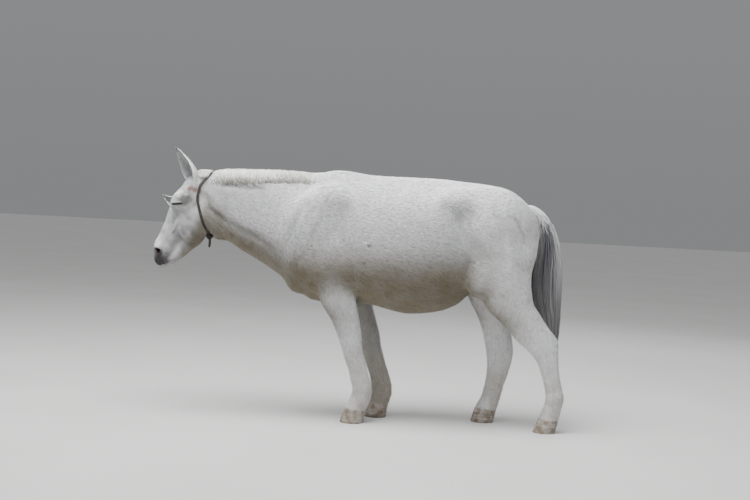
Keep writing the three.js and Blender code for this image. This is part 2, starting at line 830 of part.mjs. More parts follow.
// A flat lock of hair: ridged rings along a line of points, each with its own outward way
const lockSolid = (line, { half, thick }) => {
  const last = line.length - 1;
  const rings = line.slice(0, last).map(({ at, out }, i) => {
    const along = line[i + 1].at.clone().sub(line[Math.max(i - 1, 0)].at).normalize();
    const across = along.clone().cross(out).normalize();
    const normal = across.clone().cross(along);
    const u = i / last;
    const width = half * (0.7 + 1.2 * u * (1 - u)) * (1 - u ** 4);
    const depth = thick * (1 - 0.7 * u);
    return [[width, across], [depth, normal], [-width, across]]
      .map(([reach, way]) => at.clone().addScaledVector(way, reach));
  });
  const geometry = ringMesh(rings, line[0].at.clone(), line[last].at.clone());
  return outward(solidOf(geometry), geometry);
};

const tailSolid = () => {
  const random = seeded(41);
  const between = ([low, high]) => THREE.MathUtils.lerp(low, high, random());
  let tail = dockSolid();
  for (const ring of TAIL_LOCKS) {
    for (let i = 0; i < ring.count; i += 1) {
      const turn = ((i + 0.7 * random()) / ring.count) * 2 * Math.PI;
      const root = between(ring.root);
      const tip = between(ring.tip);
      const twist = 0.5 * (random() - 0.5);
      const steps = 5;
      const line = Array.from({ length: steps + 1 }, (_, k) => {
        const share = k / steps;
        const u = THREE.MathUtils.lerp(root, tip, share);
        const out = THREE.MathUtils.lerp(0.3, ring.out, Math.min(share * 3.2, 1));
        const at = inTail(u, out, turn + twist * share);
        return { at, out: at.clone().sub(inTail(u, 0, 0)) };
      });
      tail = tail.add(lockSolid(line, ring));
    }
  }
  return tail;
};

// A place on the neck's skin: along X, by its turn from the crest to the left, and off the skin
const crestLine = profile(TRUNK, 2);
const maneLow = profile(MANE_EDGE, 1);
const onCrest = (x, turn, off) => {
  const centre = new THREE.Vector3(x, 0, crestLine(x) - 150);
  const way = new THREE.Vector3(0, -Math.sin(turn), Math.cos(turn));
  return centre.clone().addScaledVector(way, cast(wholeFlesh, centre, way, 300) + off);
};

const maneTurn = (x) => {
  let turn = 0;
  while (turn < 1.5 && onCrest(x, turn, 0).z > maneLow(x)) turn += 0.02;
  return turn;
};

// A pad of short hair over the crest, half way down to the lower edge of the mane
const manePad = () => {
  const spread = 5;
  const places = 14;
  const rings = [];
  for (let i = 0; i <= places; i += 1) {
    const x = THREE.MathUtils.lerp(MANE.from, MANE.to, i / places);
    const high = Math.asin(MANE.over / 150);
    const low = maneTurn(x) / 2;
    const outer = Array.from({ length: spread + 1 }, (_, j) => {
      const share = j / spread;
      const swell = THREE.MathUtils.lerp(MANE.edge, MANE.thickness, Math.sin(Math.PI * share));
      return onCrest(x, THREE.MathUtils.lerp(high, low, share), swell);
    });
    const inner = Array.from({ length: spread + 1 }, (_, j) => {
      return onCrest(x, THREE.MathUtils.lerp(low, high, j / spread), -MANE.sunk);
    });
    rings.push([...outer, ...inner]);
  }
  return leafSolid(rings);
};

const maneSolid = () => {
  const random = seeded(17);
  const between = ([low, high]) => THREE.MathUtils.lerp(low, high, random());
  let mane = manePad();
  for (const row of MANE_LOCKS) {
    for (let i = 0; i < row.count; i += 1) {
      const share = (i + 0.3 + 0.5 * random()) / row.count;
      const root = THREE.MathUtils.lerp(MANE.from, MANE.to, share);
      const sweep = between(MANE_SWEEP);
      const size = Math.min(1, 3.5 * (1 - share) + 0.35);
      const low = maneTurn(root + sweep) * between(row.reach);
      const steps = 4;
      const line = Array.from({ length: steps + 1 }, (_, k) => {
        const u = k / steps;
        const x = root + sweep * u * u;
        const turn = THREE.MathUtils.lerp(row.root, low, u);
        const off = row.off * size * Math.min(4 * u, 1) * (1 - 0.5 * u * u) - 8 * Math.max(1 - 4 * u, 0);
        return { at: onCrest(x, turn, off), out: onCrest(x, turn, 50).sub(onCrest(x, turn, 0)) };
      });
      mane = mane.add(lockSolid(line, row));
    }
  }
  return mane;
};

// Locks that rise between the ears and fall forwards and to the left over a low mound
const forelockSolid = () => {
  const random = seeded(5);
  const mound = ball(FORELOCK.radii, 5, FORELOCK.turns).rotateY(THREE.MathUtils.degToRad(FORELOCK.lean));
  let forelock = solidOf(mound.translate(...FORELOCK.at));
  const { count, from, top, reach, fan, half, thick } = FORELOCK_LOCKS;
  for (let i = 0; i < count; i += 1) {
    const turn = THREE.MathUtils.degToRad(fan * (i / (count - 1) - 0.4) * 2);
    const way = new THREE.Vector3(-Math.cos(turn), -Math.sin(turn), 0);
    const height = top * (0.8 + 0.3 * random());
    const length = reach * (0.8 + 0.25 * random());
    const steps = 4;
    const line = Array.from({ length: steps + 1 }, (_, k) => {
      const u = k / steps;
      const rise = height * (1 - (1.7 * u - 0.6) ** 2) - 14 * u;
      const at = new THREE.Vector3(...from).addScaledVector(way, length * u).setZ(from[2] - 8 + rise);
      return { at, out: new THREE.Vector3(way.x * u, way.y * u, 1 - 0.5 * u) };
    });
    forelock = forelock.add(lockSolid(line, { half, thick }));
  }
  return forelock;
};

// The strap lies on the skin all round the neck, with its inner face a little sunk in the coat
const strapSolid = (grow = 0) => {
  const placeAt = profile(STRAP.route, 1);
  const rings = [];
  for (let i = 0; i < STRAP.steps; i += 1) {
    const turn = (i / STRAP.steps) * 2 * Math.PI;
    const onStrap = (r) => {
      const z = STRAP.middle + Math.cos(turn) * r;
      return new THREE.Vector3(placeAt(z), Math.sin(turn) * r, z);
    };
    let r = 20;
    const outside = (p) => wholeFlesh(p.x, p.y, p.z) > 0;
    while (!outside(onStrap(r))) r += 1;
    rings.push({ centre: onStrap(r), out: onStrap(r + 10).sub(onStrap(r)).setX(0).normalize() });
  }
  const count = rings.length;
  const points = [];
  const faces = [];
  rings.forEach(({ centre, out }, i) => {
    const along = rings[(i + 1) % count].centre.clone().sub(rings[(i + count - 1) % count].centre);
    const across = along.cross(out).normalize();
    const half = STRAP.width / 2 + grow;
    for (const [w, h] of [[-1, -1], [1, -1], [1, 1], [-1, 1]]) {
      const off = h > 0 ? STRAP.proud + grow : -STRAP.sunk - grow;
      points.push(centre.clone().addScaledVector(across, w * half).addScaledVector(out, off));
    }
    for (let j = 0; j < 4; j += 1) {
      const k = (j + 1) % 4;
      const n = (i + 1) % count;
      faces.push(4 * i + j, 4 * i + k, 4 * n + k, 4 * i + j, 4 * n + k, 4 * n + j);
    }
  });
  const geometry = new THREE.BufferGeometry().setFromPoints(points);
  geometry.setIndex(faces);
  return outward(solidOf(geometry), geometry);
};

// The knot below the throat on the left, with the short end that hangs from it
const knotSolid = () => {
  const placeAt = profile(STRAP.route, 1);
  const z = 884;
  const from = new THREE.Vector3(placeAt(z), 0, z + 40);
  const way = new THREE.Vector3(0, -0.62, -0.78).normalize();
  const at = from.clone().addScaledVector(way, cast(wholeFlesh, from, way, 200) + KNOT.radii[1] - 2);
  const knot = solidOf(ball(KNOT.radii, 6, 10).translate(at.x, at.y, at.z));
  const [x, low] = KNOT.end;
  const half = KNOT.endWidth / 2;
  const end = prism(
    [[at.x - half, at.z], [at.x + half, at.z], [x + half, low], [x - half, low]],
    at.y - KNOT.endThickness / 2,
    at.y + KNOT.endThickness / 2,
  );
  return knot.add(end);
};

const group = new THREE.Group();
const addPart = (name, solid, colour, roughness = 0.9) => {
  const material = new THREE.MeshStandardMaterial({ color: colour, roughness, metalness: 0 });
  const mesh = new THREE.Mesh(geometryOf(largest(solid)), material);
  mesh.name = name;
  group.add(mesh);
};

// The part of a leg below its slanted coronet is the hoof
const belowCoronet = (name, shift) => {
  const pastern = LEGS[name].rows[2];
  const front = pastern[1] - CORONET.reach;
  const back = pastern[2] + CORONET.reach;
  const low = -50;
  return prism(
    [[front, low], [back, low], [back, CORONET.back + shift], [front, CORONET.front + shift]],
    -FAR,
    FAR,
  );
};

const grownTorso = torsoSkin(GAP);
const grownNeck = neckSkin(GAP);
const grownHead = headSkin(GAP);
const grownStrap = strapSolid(GAP);
const offTheNeck = (solid) => solid.subtract(grownNeck).subtract(grownTorso);
const offTheHead = (solid) => solid.subtract(grownHead).subtract(grownNeck).subtract(grownStrap);

let torso = torsoSkin(0).intersect(behindCut(NECK_CUT, GAP / 2));
for (const name of Object.keys(LEGS)) {
  torso = torso.subtract(legRegion(name, GAP));
  const leg = legSkin(name).intersect(legRegion(name, 0));
  addPart(name, leg.subtract(belowCoronet(name, GAP / 2)), COLOURS.pale);
  const hoof = leg.intersect(belowCoronet(name, -GAP / 2));
  addPart(name.replace('leg', 'hoof'), hoof, COLOURS.horn, 0.6);
}
const neck = neckSkin(0)
  .intersect(behindCut(HEAD_CUT, GAP / 2))
  .subtract(behindCut(NECK_CUT, -GAP / 2));
addPart('torso', torso, COLOURS.coat);
addPart('neck', neck.subtract(grownStrap), COLOURS.coat);
addPart('head', headSolid().subtract(grownStrap), COLOURS.coat);
addPart('eye_left', eyeSolid(-1), COLOURS.eye, 0.15);
addPart('eye_right', eyeSolid(1), COLOURS.eye, 0.15);
for (const [name, ear] of Object.entries(EARS)) {
  const shell = leafSolid(earRings(ear)).subtract(grownHead);
  addPart(name, shell.subtract(lidsSolid(Math.sign(ear.base[1]), GAP)), COLOURS.hair);
}
addPart('neck_strap', strapSolid(), COLOURS.strap, 0.7);
addPart('strap_knot', offTheHead(knotSolid()), COLOURS.strap, 0.7);
addPart('mane', offTheNeck(maneSolid()), COLOURS.mane);
addPart('forelock', offTheHead(forelockSolid()), COLOURS.mane);
addPart('tail', tailSolid().subtract(grownTorso), COLOURS.hair);

export default group;
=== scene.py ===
"""A standing pale mule at rest, life size: skin, coat, hair, hooves, eyes and strap over the frame."""

import math

import bpy
import numpy as np
import openvdb
from mathutils import Matrix, Vector


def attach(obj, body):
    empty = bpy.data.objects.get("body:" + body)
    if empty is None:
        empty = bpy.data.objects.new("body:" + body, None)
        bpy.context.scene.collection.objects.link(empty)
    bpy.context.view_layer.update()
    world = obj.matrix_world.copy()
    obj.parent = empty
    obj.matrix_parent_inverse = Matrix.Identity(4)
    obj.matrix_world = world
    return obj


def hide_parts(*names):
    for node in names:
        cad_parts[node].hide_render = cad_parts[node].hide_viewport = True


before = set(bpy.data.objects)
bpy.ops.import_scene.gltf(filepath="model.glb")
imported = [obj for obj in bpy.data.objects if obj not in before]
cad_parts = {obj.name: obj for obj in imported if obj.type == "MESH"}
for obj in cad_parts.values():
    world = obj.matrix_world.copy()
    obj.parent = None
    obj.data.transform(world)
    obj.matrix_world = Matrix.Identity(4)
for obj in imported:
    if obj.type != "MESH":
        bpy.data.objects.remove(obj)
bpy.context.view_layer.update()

# The named sizes of the solids, in millimetres: trunk and neck by place, belly, back, half width
# and how much the back narrows
TRUNK = [
    (-815, 935, 1165, 62, 0.1),
    (-735, 875, 1205, 80, 0.2),
    (-655, 860, 1218, 92, 0.3),
    (-585, 822, 1221, 101, 0.35),
    (-500, 776, 1223, 114, 0.42),
    (-430, 735, 1224, 138, 0.5),
    (-350, 682, 1223, 168, 0.5),
    (-240, 602, 1221, 186, 0.45),
    (-115, 586, 1241, 196, 0.42),
    (60, 583, 1225, 226, 0.25),
    (245, 549, 1224, 258, 0.12),
    (395, 563, 1223, 254, 0.08),
    (485, 597, 1217, 238, 0),
    (545, 645, 1213, 226, -0.05),
    (620, 712, 1207, 214, -0.1),
    (715, 770, 1190, 192, -0.15),
    (800, 850, 1142, 156, -0.15),
    (850, 905, 1080, 118, -0.1),
    (880, 955, 1015, 68, 0),
    (890, 975, 990, 30, 0),
]
# Muscles on both sides: middle, radii, lean and softness of the edge
MUSCLES = {
    "shoulder blade": ((-222, 104, 960), (118, 66, 215), -28, 80),
    "upper arm": ((-110, 145, 800), (118, 52, 105), 0, 55),
    "shoulder point": ((-318, 98, 815), (58, 62, 66), 0, 55),
    "breast": ((-300, 52, 725), (62, 66, 90), 0, 45),
    "haunch": ((650, 118, 985), (200, 106, 205), 0, 60),
    "hip bone": ((470, 150, 1105), (75, 58, 62), 0, 80),
    "buttock": ((800, 78, 960), (84, 70, 135), 0, 50),
    "stifle": ((592, 158, 745), (70, 58, 88), 0, 50),
}
LEG_BLEND = 42
CAP_BLEND = 70
# Legs from the ground up: height, front, back, half width and distance from the middle plane
LEGS = {
    "foreleg_left": (-1, [
        (-12, -56, 61, 55, 110),
        (0, -52, 63, 53, 110),
        (70, -31, 76, 45, 111),
        (95, -20, 85, 41, 111),
        (130, -3, 96, 39, 112),
        (170, 2, 97, 40, 113),
        (210, -8, 90, 34, 114),
        (265, -22, 73, 33, 116),
        (320, -45, 57, 38, 118),
        (375, -62, 42, 44, 120),
        (440, -87, 35, 43, 124),
        (515, -124, 22, 47, 130),
        (585, -171, 6, 52, 137),
        (640, -195, -8, 55, 139),
        (705, -214, -38, 57, 138),
        (820, -240, -5, 58, 128),
    ]),
    "foreleg_right": (1, [
        (-12, 60, 176, 55, 110),
        (0, 64, 178, 53, 110),
        (70, 82, 190, 45, 111),
        (95, 90, 196, 41, 111),
        (130, 98, 203, 39, 112),
        (165, 95, 200, 40, 113),
        (205, 86, 190, 34, 114),
        (260, 66, 170, 33, 116),
        (310, 48, 154, 38, 118),
        (365, 30, 138, 43, 120),
        (415, 14, 129, 42, 123),
        (515, -30, 100, 47, 130),
        (575, -62, 80, 52, 136),
        (640, -95, 60, 55, 138),
        (705, -135, 42, 57, 138),
        (820, -200, 20, 58, 128),
    ]),
    "hindleg_left": (-1, [
        (-12, 897, 1011, 53, 119),
        (0, 902, 1014, 51, 119),
        (70, 930, 1030, 44, 119),
        (95, 937, 1034, 41, 119),
        (140, 953, 1043, 38, 120),
        (180, 957, 1047, 39, 121),
        (230, 948, 1035, 33, 122),
        (300, 925, 1020, 35, 123),
        (355, 900, 1012, 41, 124),
        (410, 850, 1009, 46, 124),
        (455, 796, 1003, 48, 124),
        (520, 735, 952, 54, 125),
        (590, 655, 902, 65, 127),
        (630, 622, 876, 71, 129),
        (680, 585, 863, 78, 129),
        (740, 538, 856, 85, 129),
        (790, 518, 858, 90, 127),
        (870, 505, 872, 96, 122),
        (960, 500, 866, 88, 116),
    ]),
    "hindleg_right": (1, [
        (-12, 609, 726, 53, 119),
        (0, 612, 728, 51, 119),
        (70, 630, 742, 44, 119),
        (90, 640, 747, 41, 119),
        (130, 660, 757, 38, 120),
        (165, 668, 766, 39, 121),
        (205, 676, 775, 34, 122),
        (250, 681, 790, 33, 122),
        (310, 680, 806, 36, 123),
        (365, 672, 813, 43, 124),
        (410, 662, 807, 47, 124),
        (455, 651, 798, 49, 124),
        (500, 636, 788, 53, 125),
        (560, 608, 786, 61, 127),
        (615, 576, 812, 70, 129),
        (700, 538, 826, 82, 129),
        (790, 508, 842, 90, 127),
        (870, 500, 852, 96, 122),
        (960, 498, 862, 88, 116),
    ]),
}
CORONET = {"front": 80, "back": 58, "reach": 70}

# The head's own frame: s runs from the poll to the muzzle, t towards the face
HEAD = (-815, 1150, math.radians(24))
SKULL = [
    (-42, -60, 12, 38, 0),
    (-25, -66, 33, 56, 0),
    (27, -70, 51, 78, 0),
    (75, -72, 69, 90, -0.05),
    (120, -72, 81, 97, 0),
    (160, -70, 76, 91, 0.12),
    (216, -66, 67, 76, 0.28),
    (270, -62, 61, 65, 0.32),
    (333, -58, 59, 56, 0.25),
    (370, -50, 60, 54, 0.12),
    (405, -40, 49, 53, 0.05),
    (430, -32, 34, 48, 0),
    (450, -24, 17, 38, 0),
    (463, -18, 2, 22, 0),
]
JAW = [
    (40, -130, -30, 50, 0),
    (120, -150, -20, 70, -0.15),
    (216, -156, -20, 70, -0.1),
    (270, -147, -20, 57, 0),
    (333, -118, -20, 47, 0),
    (370, -103, -30, 44, 0),
    (405, -82, -30, 42, 0),
    (420, -63, -28, 38, 0),
    (434, -48, -26, 31, 0),
    (445, -38, -26, 22, 0),
]
# Soft forms of the head on both sides: middle and radii along s, y and t, and softness
HEAD_FORMS = {
    "cheek": ((195, 62, -78), (98, 27, 76), 20),
    "orbit": ((130, 78, 40), (48, 25, 34), 18),
    "temple": ((38, 46, 28), (52, 34, 28), 22),
    "facial crest": ((212, 66, -4), (72, 14, 12), 12),
    "nostril wing": ((392, 38, 20), (30, 18, 24), 14),
    "upper lip": ((438, 17, 0), (21, 26, 23), 14),
    "chin": ((407, 0, -50), (25, 32, 26), 14),
    "ear root": ((20, 54, 2), (38, 26, 30), 20),
    "lids": ((143, 78, 36), (27, 22, 22), 10),
}
JAW_BLEND = 20
HEAD_BLEND = 34
HEAD_START = -560
# Above the first height legs count as trunk, and above the second they have no form
LEG_TOP = 690
LEGS_END = 1100

# Eye, mouth and nostril in the head's frame
EYE = {"s": 143, "t": 36, "y": 80, "radius": 20}
SLIT = {"half": 25, "up": 3.2, "down": 3.4, "tilt": 6}
# Beyond this distance from the middle plane a place is beside the eye, nearer it is forehead
ORBIT_OUT = 76
# The lips lie before this place along x
LIPS_START = -900
MOUTH = {"corner": (414, -34), "front": (476, -24), "width": 1.7, "depth": 6.0}
NOSTRIL = {"at": (396, 19), "half": (9.6, 16.5), "tilt": 38, "depth": 20.0, "bend": 0.02}
# How far the upper and lower lid stand out, and how deep the eye lies behind them and behind its ball
LID_RISE = (2.6, 1.4)
EYE_SUNK = (4.5, 1.6)
# Folds round the eye, by their height above the slit at its middle: how far along it they reach,
# how much they bend down at their ends, softness and depth
LID_FOLDS = [
    (11.5, 30, 11, 1.7, 2.3),
    (18.5, 27, 10, 2.0, 1.7),
    (25.0, 24, 9, 2.4, 1.3),
    (-9.5, 24, -6, 1.8, 1.5),
    (-15.0, 19, -5, 2.2, 0.9),
]
# Soft folds and ridges of the skin in the side plane: points, softness and rise
CREASES = {
    "front of the shoulder": ([(-262, 1120), (-290, 1050), (-330, 940), (-361, 850)], 20, -7.0),
    "back of the shoulder": ([(-75, 1110), (-70, 980), (-62, 880), (-40, 790)], 38, -6.0),
    "ridge of the shoulder": ([(-190, 1110), (-215, 1010), (-262, 890), (-290, 830)], 16, 4.0),
    "flank ridge": ([(420, 1098), (497, 934), (541, 830), (560, 760)], 17, 6.0),
    "flank hollow": ([(452, 1095), (530, 940), (575, 850)], 26, -7.0),
    "throat": ([(-765, 1119), (-754, 1027), (-718, 998), (-650, 950)], 10, -6.0),
    "under the mane": ([(-725, 1143), (-640, 1136), (-551, 1133), (-480, 1140)], 8, -3.0),
    "lower edge of the neck": ([(-690, 985), (-600, 930), (-480, 880), (-385, 815)], 17, -5.0),
    "elbow fold": ([(-40, 800), (-20, 730), (-10, 680)], 13, -6.0),
    "thigh fold": ([(760, 860), (800, 760), (820, 690)], 20, -4.0),
    "edge of the buttock": ([(640, 1120), (690, 1000), (712, 880), (705, 790)], 24, -5.0),
}
# The mane lies on the left, so the fold under it is there only
LEFT_FOLD = "under the mane"
# The same on the head, in its own frame
HEAD_CREASES = {
    "edge of the cheek": ([(215, -22), (262, -45), (280, -85), (262, -128)], 8, -3.5),
    "above the facial crest": ([(172, 14), (225, 12), (292, 8)], 8, -3.0),
    "side of the nose": ([(285, 26), (330, 28), (372, 36)], 8, -2.2),
    "below the eye": ([(176, 48), (168, 24), (150, 6)], 7, -2.0),
    "temple hollow": ([(92, 34), (76, 20), (70, 2)], 9, -3.2),
    "corner of the mouth": ([(405, -30), (385, -18), (360, -14)], 7, -2.2),
    "side of the jaw": ([(300, -58), (345, -54), (385, -50)], 8, -2.2),
}
# Groove between bone and tendon on both sides of the lower legs: heights and place from the front
TENDON_GROOVES = {
    "foreleg_left": (180, 345, 0.6),
    "foreleg_right": (175, 335, 0.6),
    "hindleg_left": (200, 400, 0.58),
    "hindleg_right": (180, 400, 0.58),
}
TENDON = {"soft": 0.13, "depth": 4.5, "end": 15}

# Ears: root, the place they bend towards, tip, and where each opens to
EARS = {
    "ear_left": ((-797, -46, 1087), (-857, -62, 1199), (-927, -92, 1312), (-0.55, -0.83, -0.1)),
    "ear_right": ((-812, 48, 1112), (-943, 172, 982), (-1021, 192, 1073), (-0.5, -0.75, -0.2)),
}
# Along an ear: share of its length, radius, angle that the shell spans, and its thickness
EAR_SHELL = [
    (0, 20, 340, 9),
    (0.12, 24, 330, 9),
    (0.25, 28, 300, 8),
    (0.43, 37, 235, 7),
    (0.64, 33, 195, 5),
    (0.86, 18, 170, 3.5),
    (1, 3, 140, 2),
]

# Colours of the coat, linear
PALE = (0.84, 0.845, 0.85)
# Dark olive: partly the coat's own stain and the scars' colour, partly painted shade on the undersides,
# throat and inner legs
BELLY_STAIN_AND_SHADE = (0.185, 0.157, 0.107)
FACE = (0.62, 0.62, 0.635)
# Painted shade about the brow, above and behind the eye
BROW_SHADE = (0.12, 0.115, 0.1)
MUZZLE = (0.024, 0.022, 0.026)
LID = (0.07, 0.065, 0.068)
RAW = (0.035, 0.014, 0.011)
WHISKER = (0.3, 0.29, 0.28)
EAR_GREY = (0.5, 0.5, 0.503)
# The mane darkens from its top to its lower tips: partly its own cream to olive, partly painted shade
MANE_TOP = (0.78, 0.775, 0.75)
MANE_TIP = (0.25, 0.237, 0.2)
TAIL_PALE = (0.56, 0.56, 0.57)
TAIL_GREY = (0.28, 0.275, 0.27)
TAIL_DARK = (0.1, 0.1, 0.112)
STAIN = (0.46, 0.41, 0.35)
RUST = (0.3, 0.165, 0.125)
# The skin between the tufts is this much darker than they are, on the body and on the ears
SKIN_SHADE, EAR_SHADE = 0.9, 0.85
# Spots of the head, the painted shade about the brow and the reddish mark: place in the side plane and
# radii
BROW_SHADE_SPOT = (-868, 1060, 52, 34)
RUST_SPOT = (-829, 1111, 34, 17)
# Dark scars on the near side: place in the side plane and size
SCARS = [(40, 884, 11), (20, 800, 13), (7, 1140, 8), (-292, 818, 14), (-240, 870, 7)]

# Neck strap: its height and its place along x, down the neck, and its section
STRAP_ROUTE = [
    (865, -736),
    (885, -745),
    (950, -775),
    (1025, -800),
    (1065, -808),
    (1095, -804),
    (1135, -794),
    (1185, -757),
    (1215, -738),
]
STRAP_MIDDLE = 1045
# The strap is looked for from this far off the neck's middle outwards, millimetre by millimetre
STRAP_INSIDE = 20.0
STRAP_REACH = 260
STRAP_WIDTH = 13
STRAP_THICK = 4
KNOT_RADII = (22, 15, 15)
# Where the knot hangs: height on the strap, height and way from inside the neck, end of the band
KNOT_START = (884, 924)
KNOT_WAY = (0, -0.62, -0.78)
KNOT_END = (-742, 824)

# Mane: from and to along x, and the height of its lower edge on the left
MANE = (-724, -212)
MANE_EDGE = [
    (-724, 1150),
    (-630, 1147),
    (-540, 1150),
    (-470, 1166),
    (-410, 1186),
    (-310, 1207),
    (-212, 1220),
]
# Forelock: from and to along x, half width and height
FORELOCK = (-784, -748, 18, 1181)
# Tail, from its root down: place, height, half thickness and half width
TAIL = [
    (792, 1082, 24, 22),
    (845, 1090, 26, 25),
    (892, 1060, 30, 30),
    (928, 1000, 42, 37),
    (944, 920, 56, 45),
    (947, 830, 72, 52),
    (946, 730, 79, 55),
    (956, 630, 70, 52),
    (976, 540, 50, 45),
    (982, 450, 38, 36),
    (986, 370, 24, 24),
    (990, 300, 7, 8),
]
DOCK_END = 0.42


def curve(rows, column):
    """A smooth curve through one column of a table, held at its end values beyond the table."""
    places = np.array([row[0] for row in rows], float)
    values = np.array([row[column] for row in rows], float)
    after = np.minimum(np.arange(len(rows)) + 1, len(rows) - 1)
    before = np.maximum(np.arange(len(rows)) - 1, 0)
    slopes = (values[after] - values[before]) / (places[after] - places[before])

    def at(place):
        place = np.clip(place, places[0], places[-1])
        i = np.clip(np.searchsorted(places, place, "right") - 1, 0, len(places) - 2)
        span = places[i + 1] - places[i]
        u = (place - places[i]) / span
        rise = values[i + 1] - values[i]
        a = slopes[i] * span - rise
        b = rise - slopes[i + 1] * span
        return values[i] + u * rise + u * (1 - u) * (a * (1 - u) + b * u)

    return at


def soft_min(a, b, blend):
    """The lesser of two forms, rounded where they are less than blend apart."""
    share = np.maximum(blend - np.abs(a - b), 0) / blend
    return np.minimum(a, b) - share * share * blend / 4


def loft(rows, taper_column=None, side_column=None):
    """A form along s with oval sections: about the distance in millimetres from its wall."""
    low, high, half = curve(rows, 1), curve(rows, 2), curve(rows, 3)
    taper = curve(rows, taper_column) if taper_column else None
    side = curve(rows, side_column) if side_column else None
    first, last = rows[0][0], rows[-1][0]

    def form(s, t, y):
        bottom, top = low(s), high(s)
        middle = (bottom + top) / 2
        reach = (top - bottom) / 2
        rise = (t - middle) / reach
        width = half(s)
        if taper:
            width = width * (1 - taper(s) * np.clip(rise, -1, 1))
        across = y - side(s) if side else y
        share = np.maximum(np.hypot(rise, across / width), 1e-3)
        wall = np.maximum(np.hypot(t - middle, across), 1e-3 * reach) * (1 - 1 / share)
        if side:
            wall = -soft_min(-wall, last - s, CAP_BLEND)
            return np.maximum(wall, first - s)
        return np.maximum(wall, np.maximum(first - s, s - last))

    return form


def turned(a, b, degrees):
    """Places in a plane, seen from axes turned by an angle."""
    c, s = math.cos(math.radians(degrees)), math.sin(math.radians(degrees))
    return a * c + b * s, b * c - a * s


def lump(middle, radii, lean=0):
    """An oval lump, turned by its lean in the side plane."""
    def form(x, y, z):
        u, w = turned(x - middle[0], z - middle[2], lean)
        v = y - middle[1]
        share = np.sqrt((u / radii[0]) ** 2 + (v / radii[1]) ** 2 + (w / radii[2]) ** 2)
        share = np.maximum(share, 1e-3)
        return np.maximum(np.sqrt(u * u + v * v + w * w), 1e-2) * (1 - 1 / share)

    return form


def to_head(x, z):
    """Places along the head and towards its face, from the side plane."""
    dx, dz = x - HEAD[0], z - HEAD[1]
    c, s = math.cos(HEAD[2]), math.sin(HEAD[2])
    return -dx * s - dz * c, -dx * c + dz * s


def in_head(p):
    return to_head(p[:, 0], p[:, 2])


def from_head(s, t, y=0.0):
    c, n = math.cos(HEAD[2]), math.sin(HEAD[2])
    return np.array([HEAD[0] - s * n - t * c, y, HEAD[1] - s * c + t * n])


trunk_form = loft(TRUNK, taper_column=4)
skull_form = loft(SKULL, taper_column=4)
jaw_form = loft(JAW, taper_column=4)
muscle_forms = [(lump(at, radii, lean), blend) for at, radii, lean, blend in MUSCLES.values()]
head_forms = [(lump(at, radii), blend) for at, radii, blend in HEAD_FORMS.values()]
leg_forms = [(loft(rows, side_column=4), side, rows) for side, rows in LEGS.values()]
EYE_AT = from_head(EYE["s"], EYE["t"], EYE["y"])
trunk_low = curve(TRUNK, 1)
trunk_high = curve(TRUNK, 2)


def legs_at(p):
    """The form of each leg at each place."""
    return np.stack([form(p[:, 2], p[:, 0], p[:, 1] * side) for form, side, _ in leg_forms])


def flesh(p):
    """The whole body as one form: below zero inside, in millimetres."""
    x, y, z = p.T
    side = np.abs(y)
    skin = trunk_form(x, z, y)
    for form, blend in muscle_forms:
        skin = soft_min(skin, form(x, side, z), blend)
    for form, leg_side, _ in leg_forms:
        near = z < LEGS_END
        skin[near] = soft_min(skin[near], form(z[near], x[near], y[near] * leg_side), LEG_BLEND)
    near = x < HEAD_START
    s, t = to_head(x[near], z[near])
    width = side[near]
    head = soft_min(skull_form(s, t, width), jaw_form(s, t, width), JAW_BLEND)
    for form, blend in head_forms:
        head = soft_min(head, form(s, width, t), blend)
    skin[near] = soft_min(skin[near], head, HEAD_BLEND)
    return skin


def smooth_step(low, high, value):
    """0 at low and 1 at high with soft ends, and low may be the larger one."""
    u = np.clip((value - low) / (high - low), 0, 1)
    return u * u * (3 - 2 * u)


def head_share(p):
    """1 on the head, 0 behind the throat."""
    s, _ = in_head(p)
    ahead = smooth_step(-700, -790, p[:, 0])
    return ahead * smooth_step(-60, -10, s)


def leg_share(p):
    """1 on the lower legs, 0 on the trunk."""
    return smooth_step(560, 400, p[:, 2])


# How deep the coat is on the trunk, and how much less on legs, head and muzzle
COAT_DEPTH, LEG_LESS, HEAD_LESS, MUZZLE_LESS = 7.0, 3.0, 4.2, 1.8


def coat_depth(p):
    """How far the skin lies inside the outline of the coat."""
    s, _ = in_head(p)
    depth = COAT_DEPTH - LEG_LESS * leg_share(p) - HEAD_LESS * head_share(p)
    return depth - MUZZLE_LESS * head_share(p) * smooth_step(330, 400, s)


# Mesh making
def grid_mesh(pitch, low, high):
    """Triangles round the body, read off a grid of its form."""
    axes = [np.arange(a, b + pitch, pitch) for a, b in zip(low, high)]
    corners = np.stack(np.meshgrid(*axes, indexing="ij"), -1).reshape(-1, 3)
    values = np.empty(len(corners))
    for part in np.array_split(np.arange(len(corners)), 12):
        values[part] = flesh(corners[part]) + coat_depth(corners[part])
    grid = openvdb.FloatGrid()
    grid.copyFromArray((values / pitch).reshape([len(a) for a in axes]).astype(np.float32))
    points, quads = grid.convertToQuads()
    points = points * pitch + np.array([a[0] for a in axes])
    quads = facing_out(points, quads.astype(np.int64))
    return points.astype(float), in_halves(quads)


def gradient(form, p, step=0.5):
    here = form(p)
    slope = np.stack([form(p + step * np.eye(3)[k]) - here for k in range(3)], -1) / step
    return here, slope


def onto_form(form, p, rounds=3, most=6.0):
    """Moves points onto the zero wall of a form along its gradient."""
    for _ in range(rounds):
        here, slope = gradient(form, p)
        size = np.maximum((slope ** 2).sum(-1), 0.05)
        move = -(here / size)[:, None] * slope
        length = np.linalg.norm(move, axis=-1, keepdims=True)
        p = p + move * np.minimum(1, most / np.maximum(length, 1e-6))
    return p


def ring_faces(rings, count, looped=False):
    """Quads between rings of points, each of the same count, back to the first ring if looped."""
    i, j = np.meshgrid(np.arange(rings if looped else rings - 1), np.arange(count), indexing="ij")
    k = (j + 1) % count
    here, after = i * count, (i + 1) % rings * count
    return vectors(here + j, here + k, after + k, after + j).reshape(-1, 4)


def halves_of(quads):
    return quads[:, [0, 1, 2]], quads[:, [0, 2, 3]]


def in_halves(quads):
    return np.concatenate(halves_of(quads))


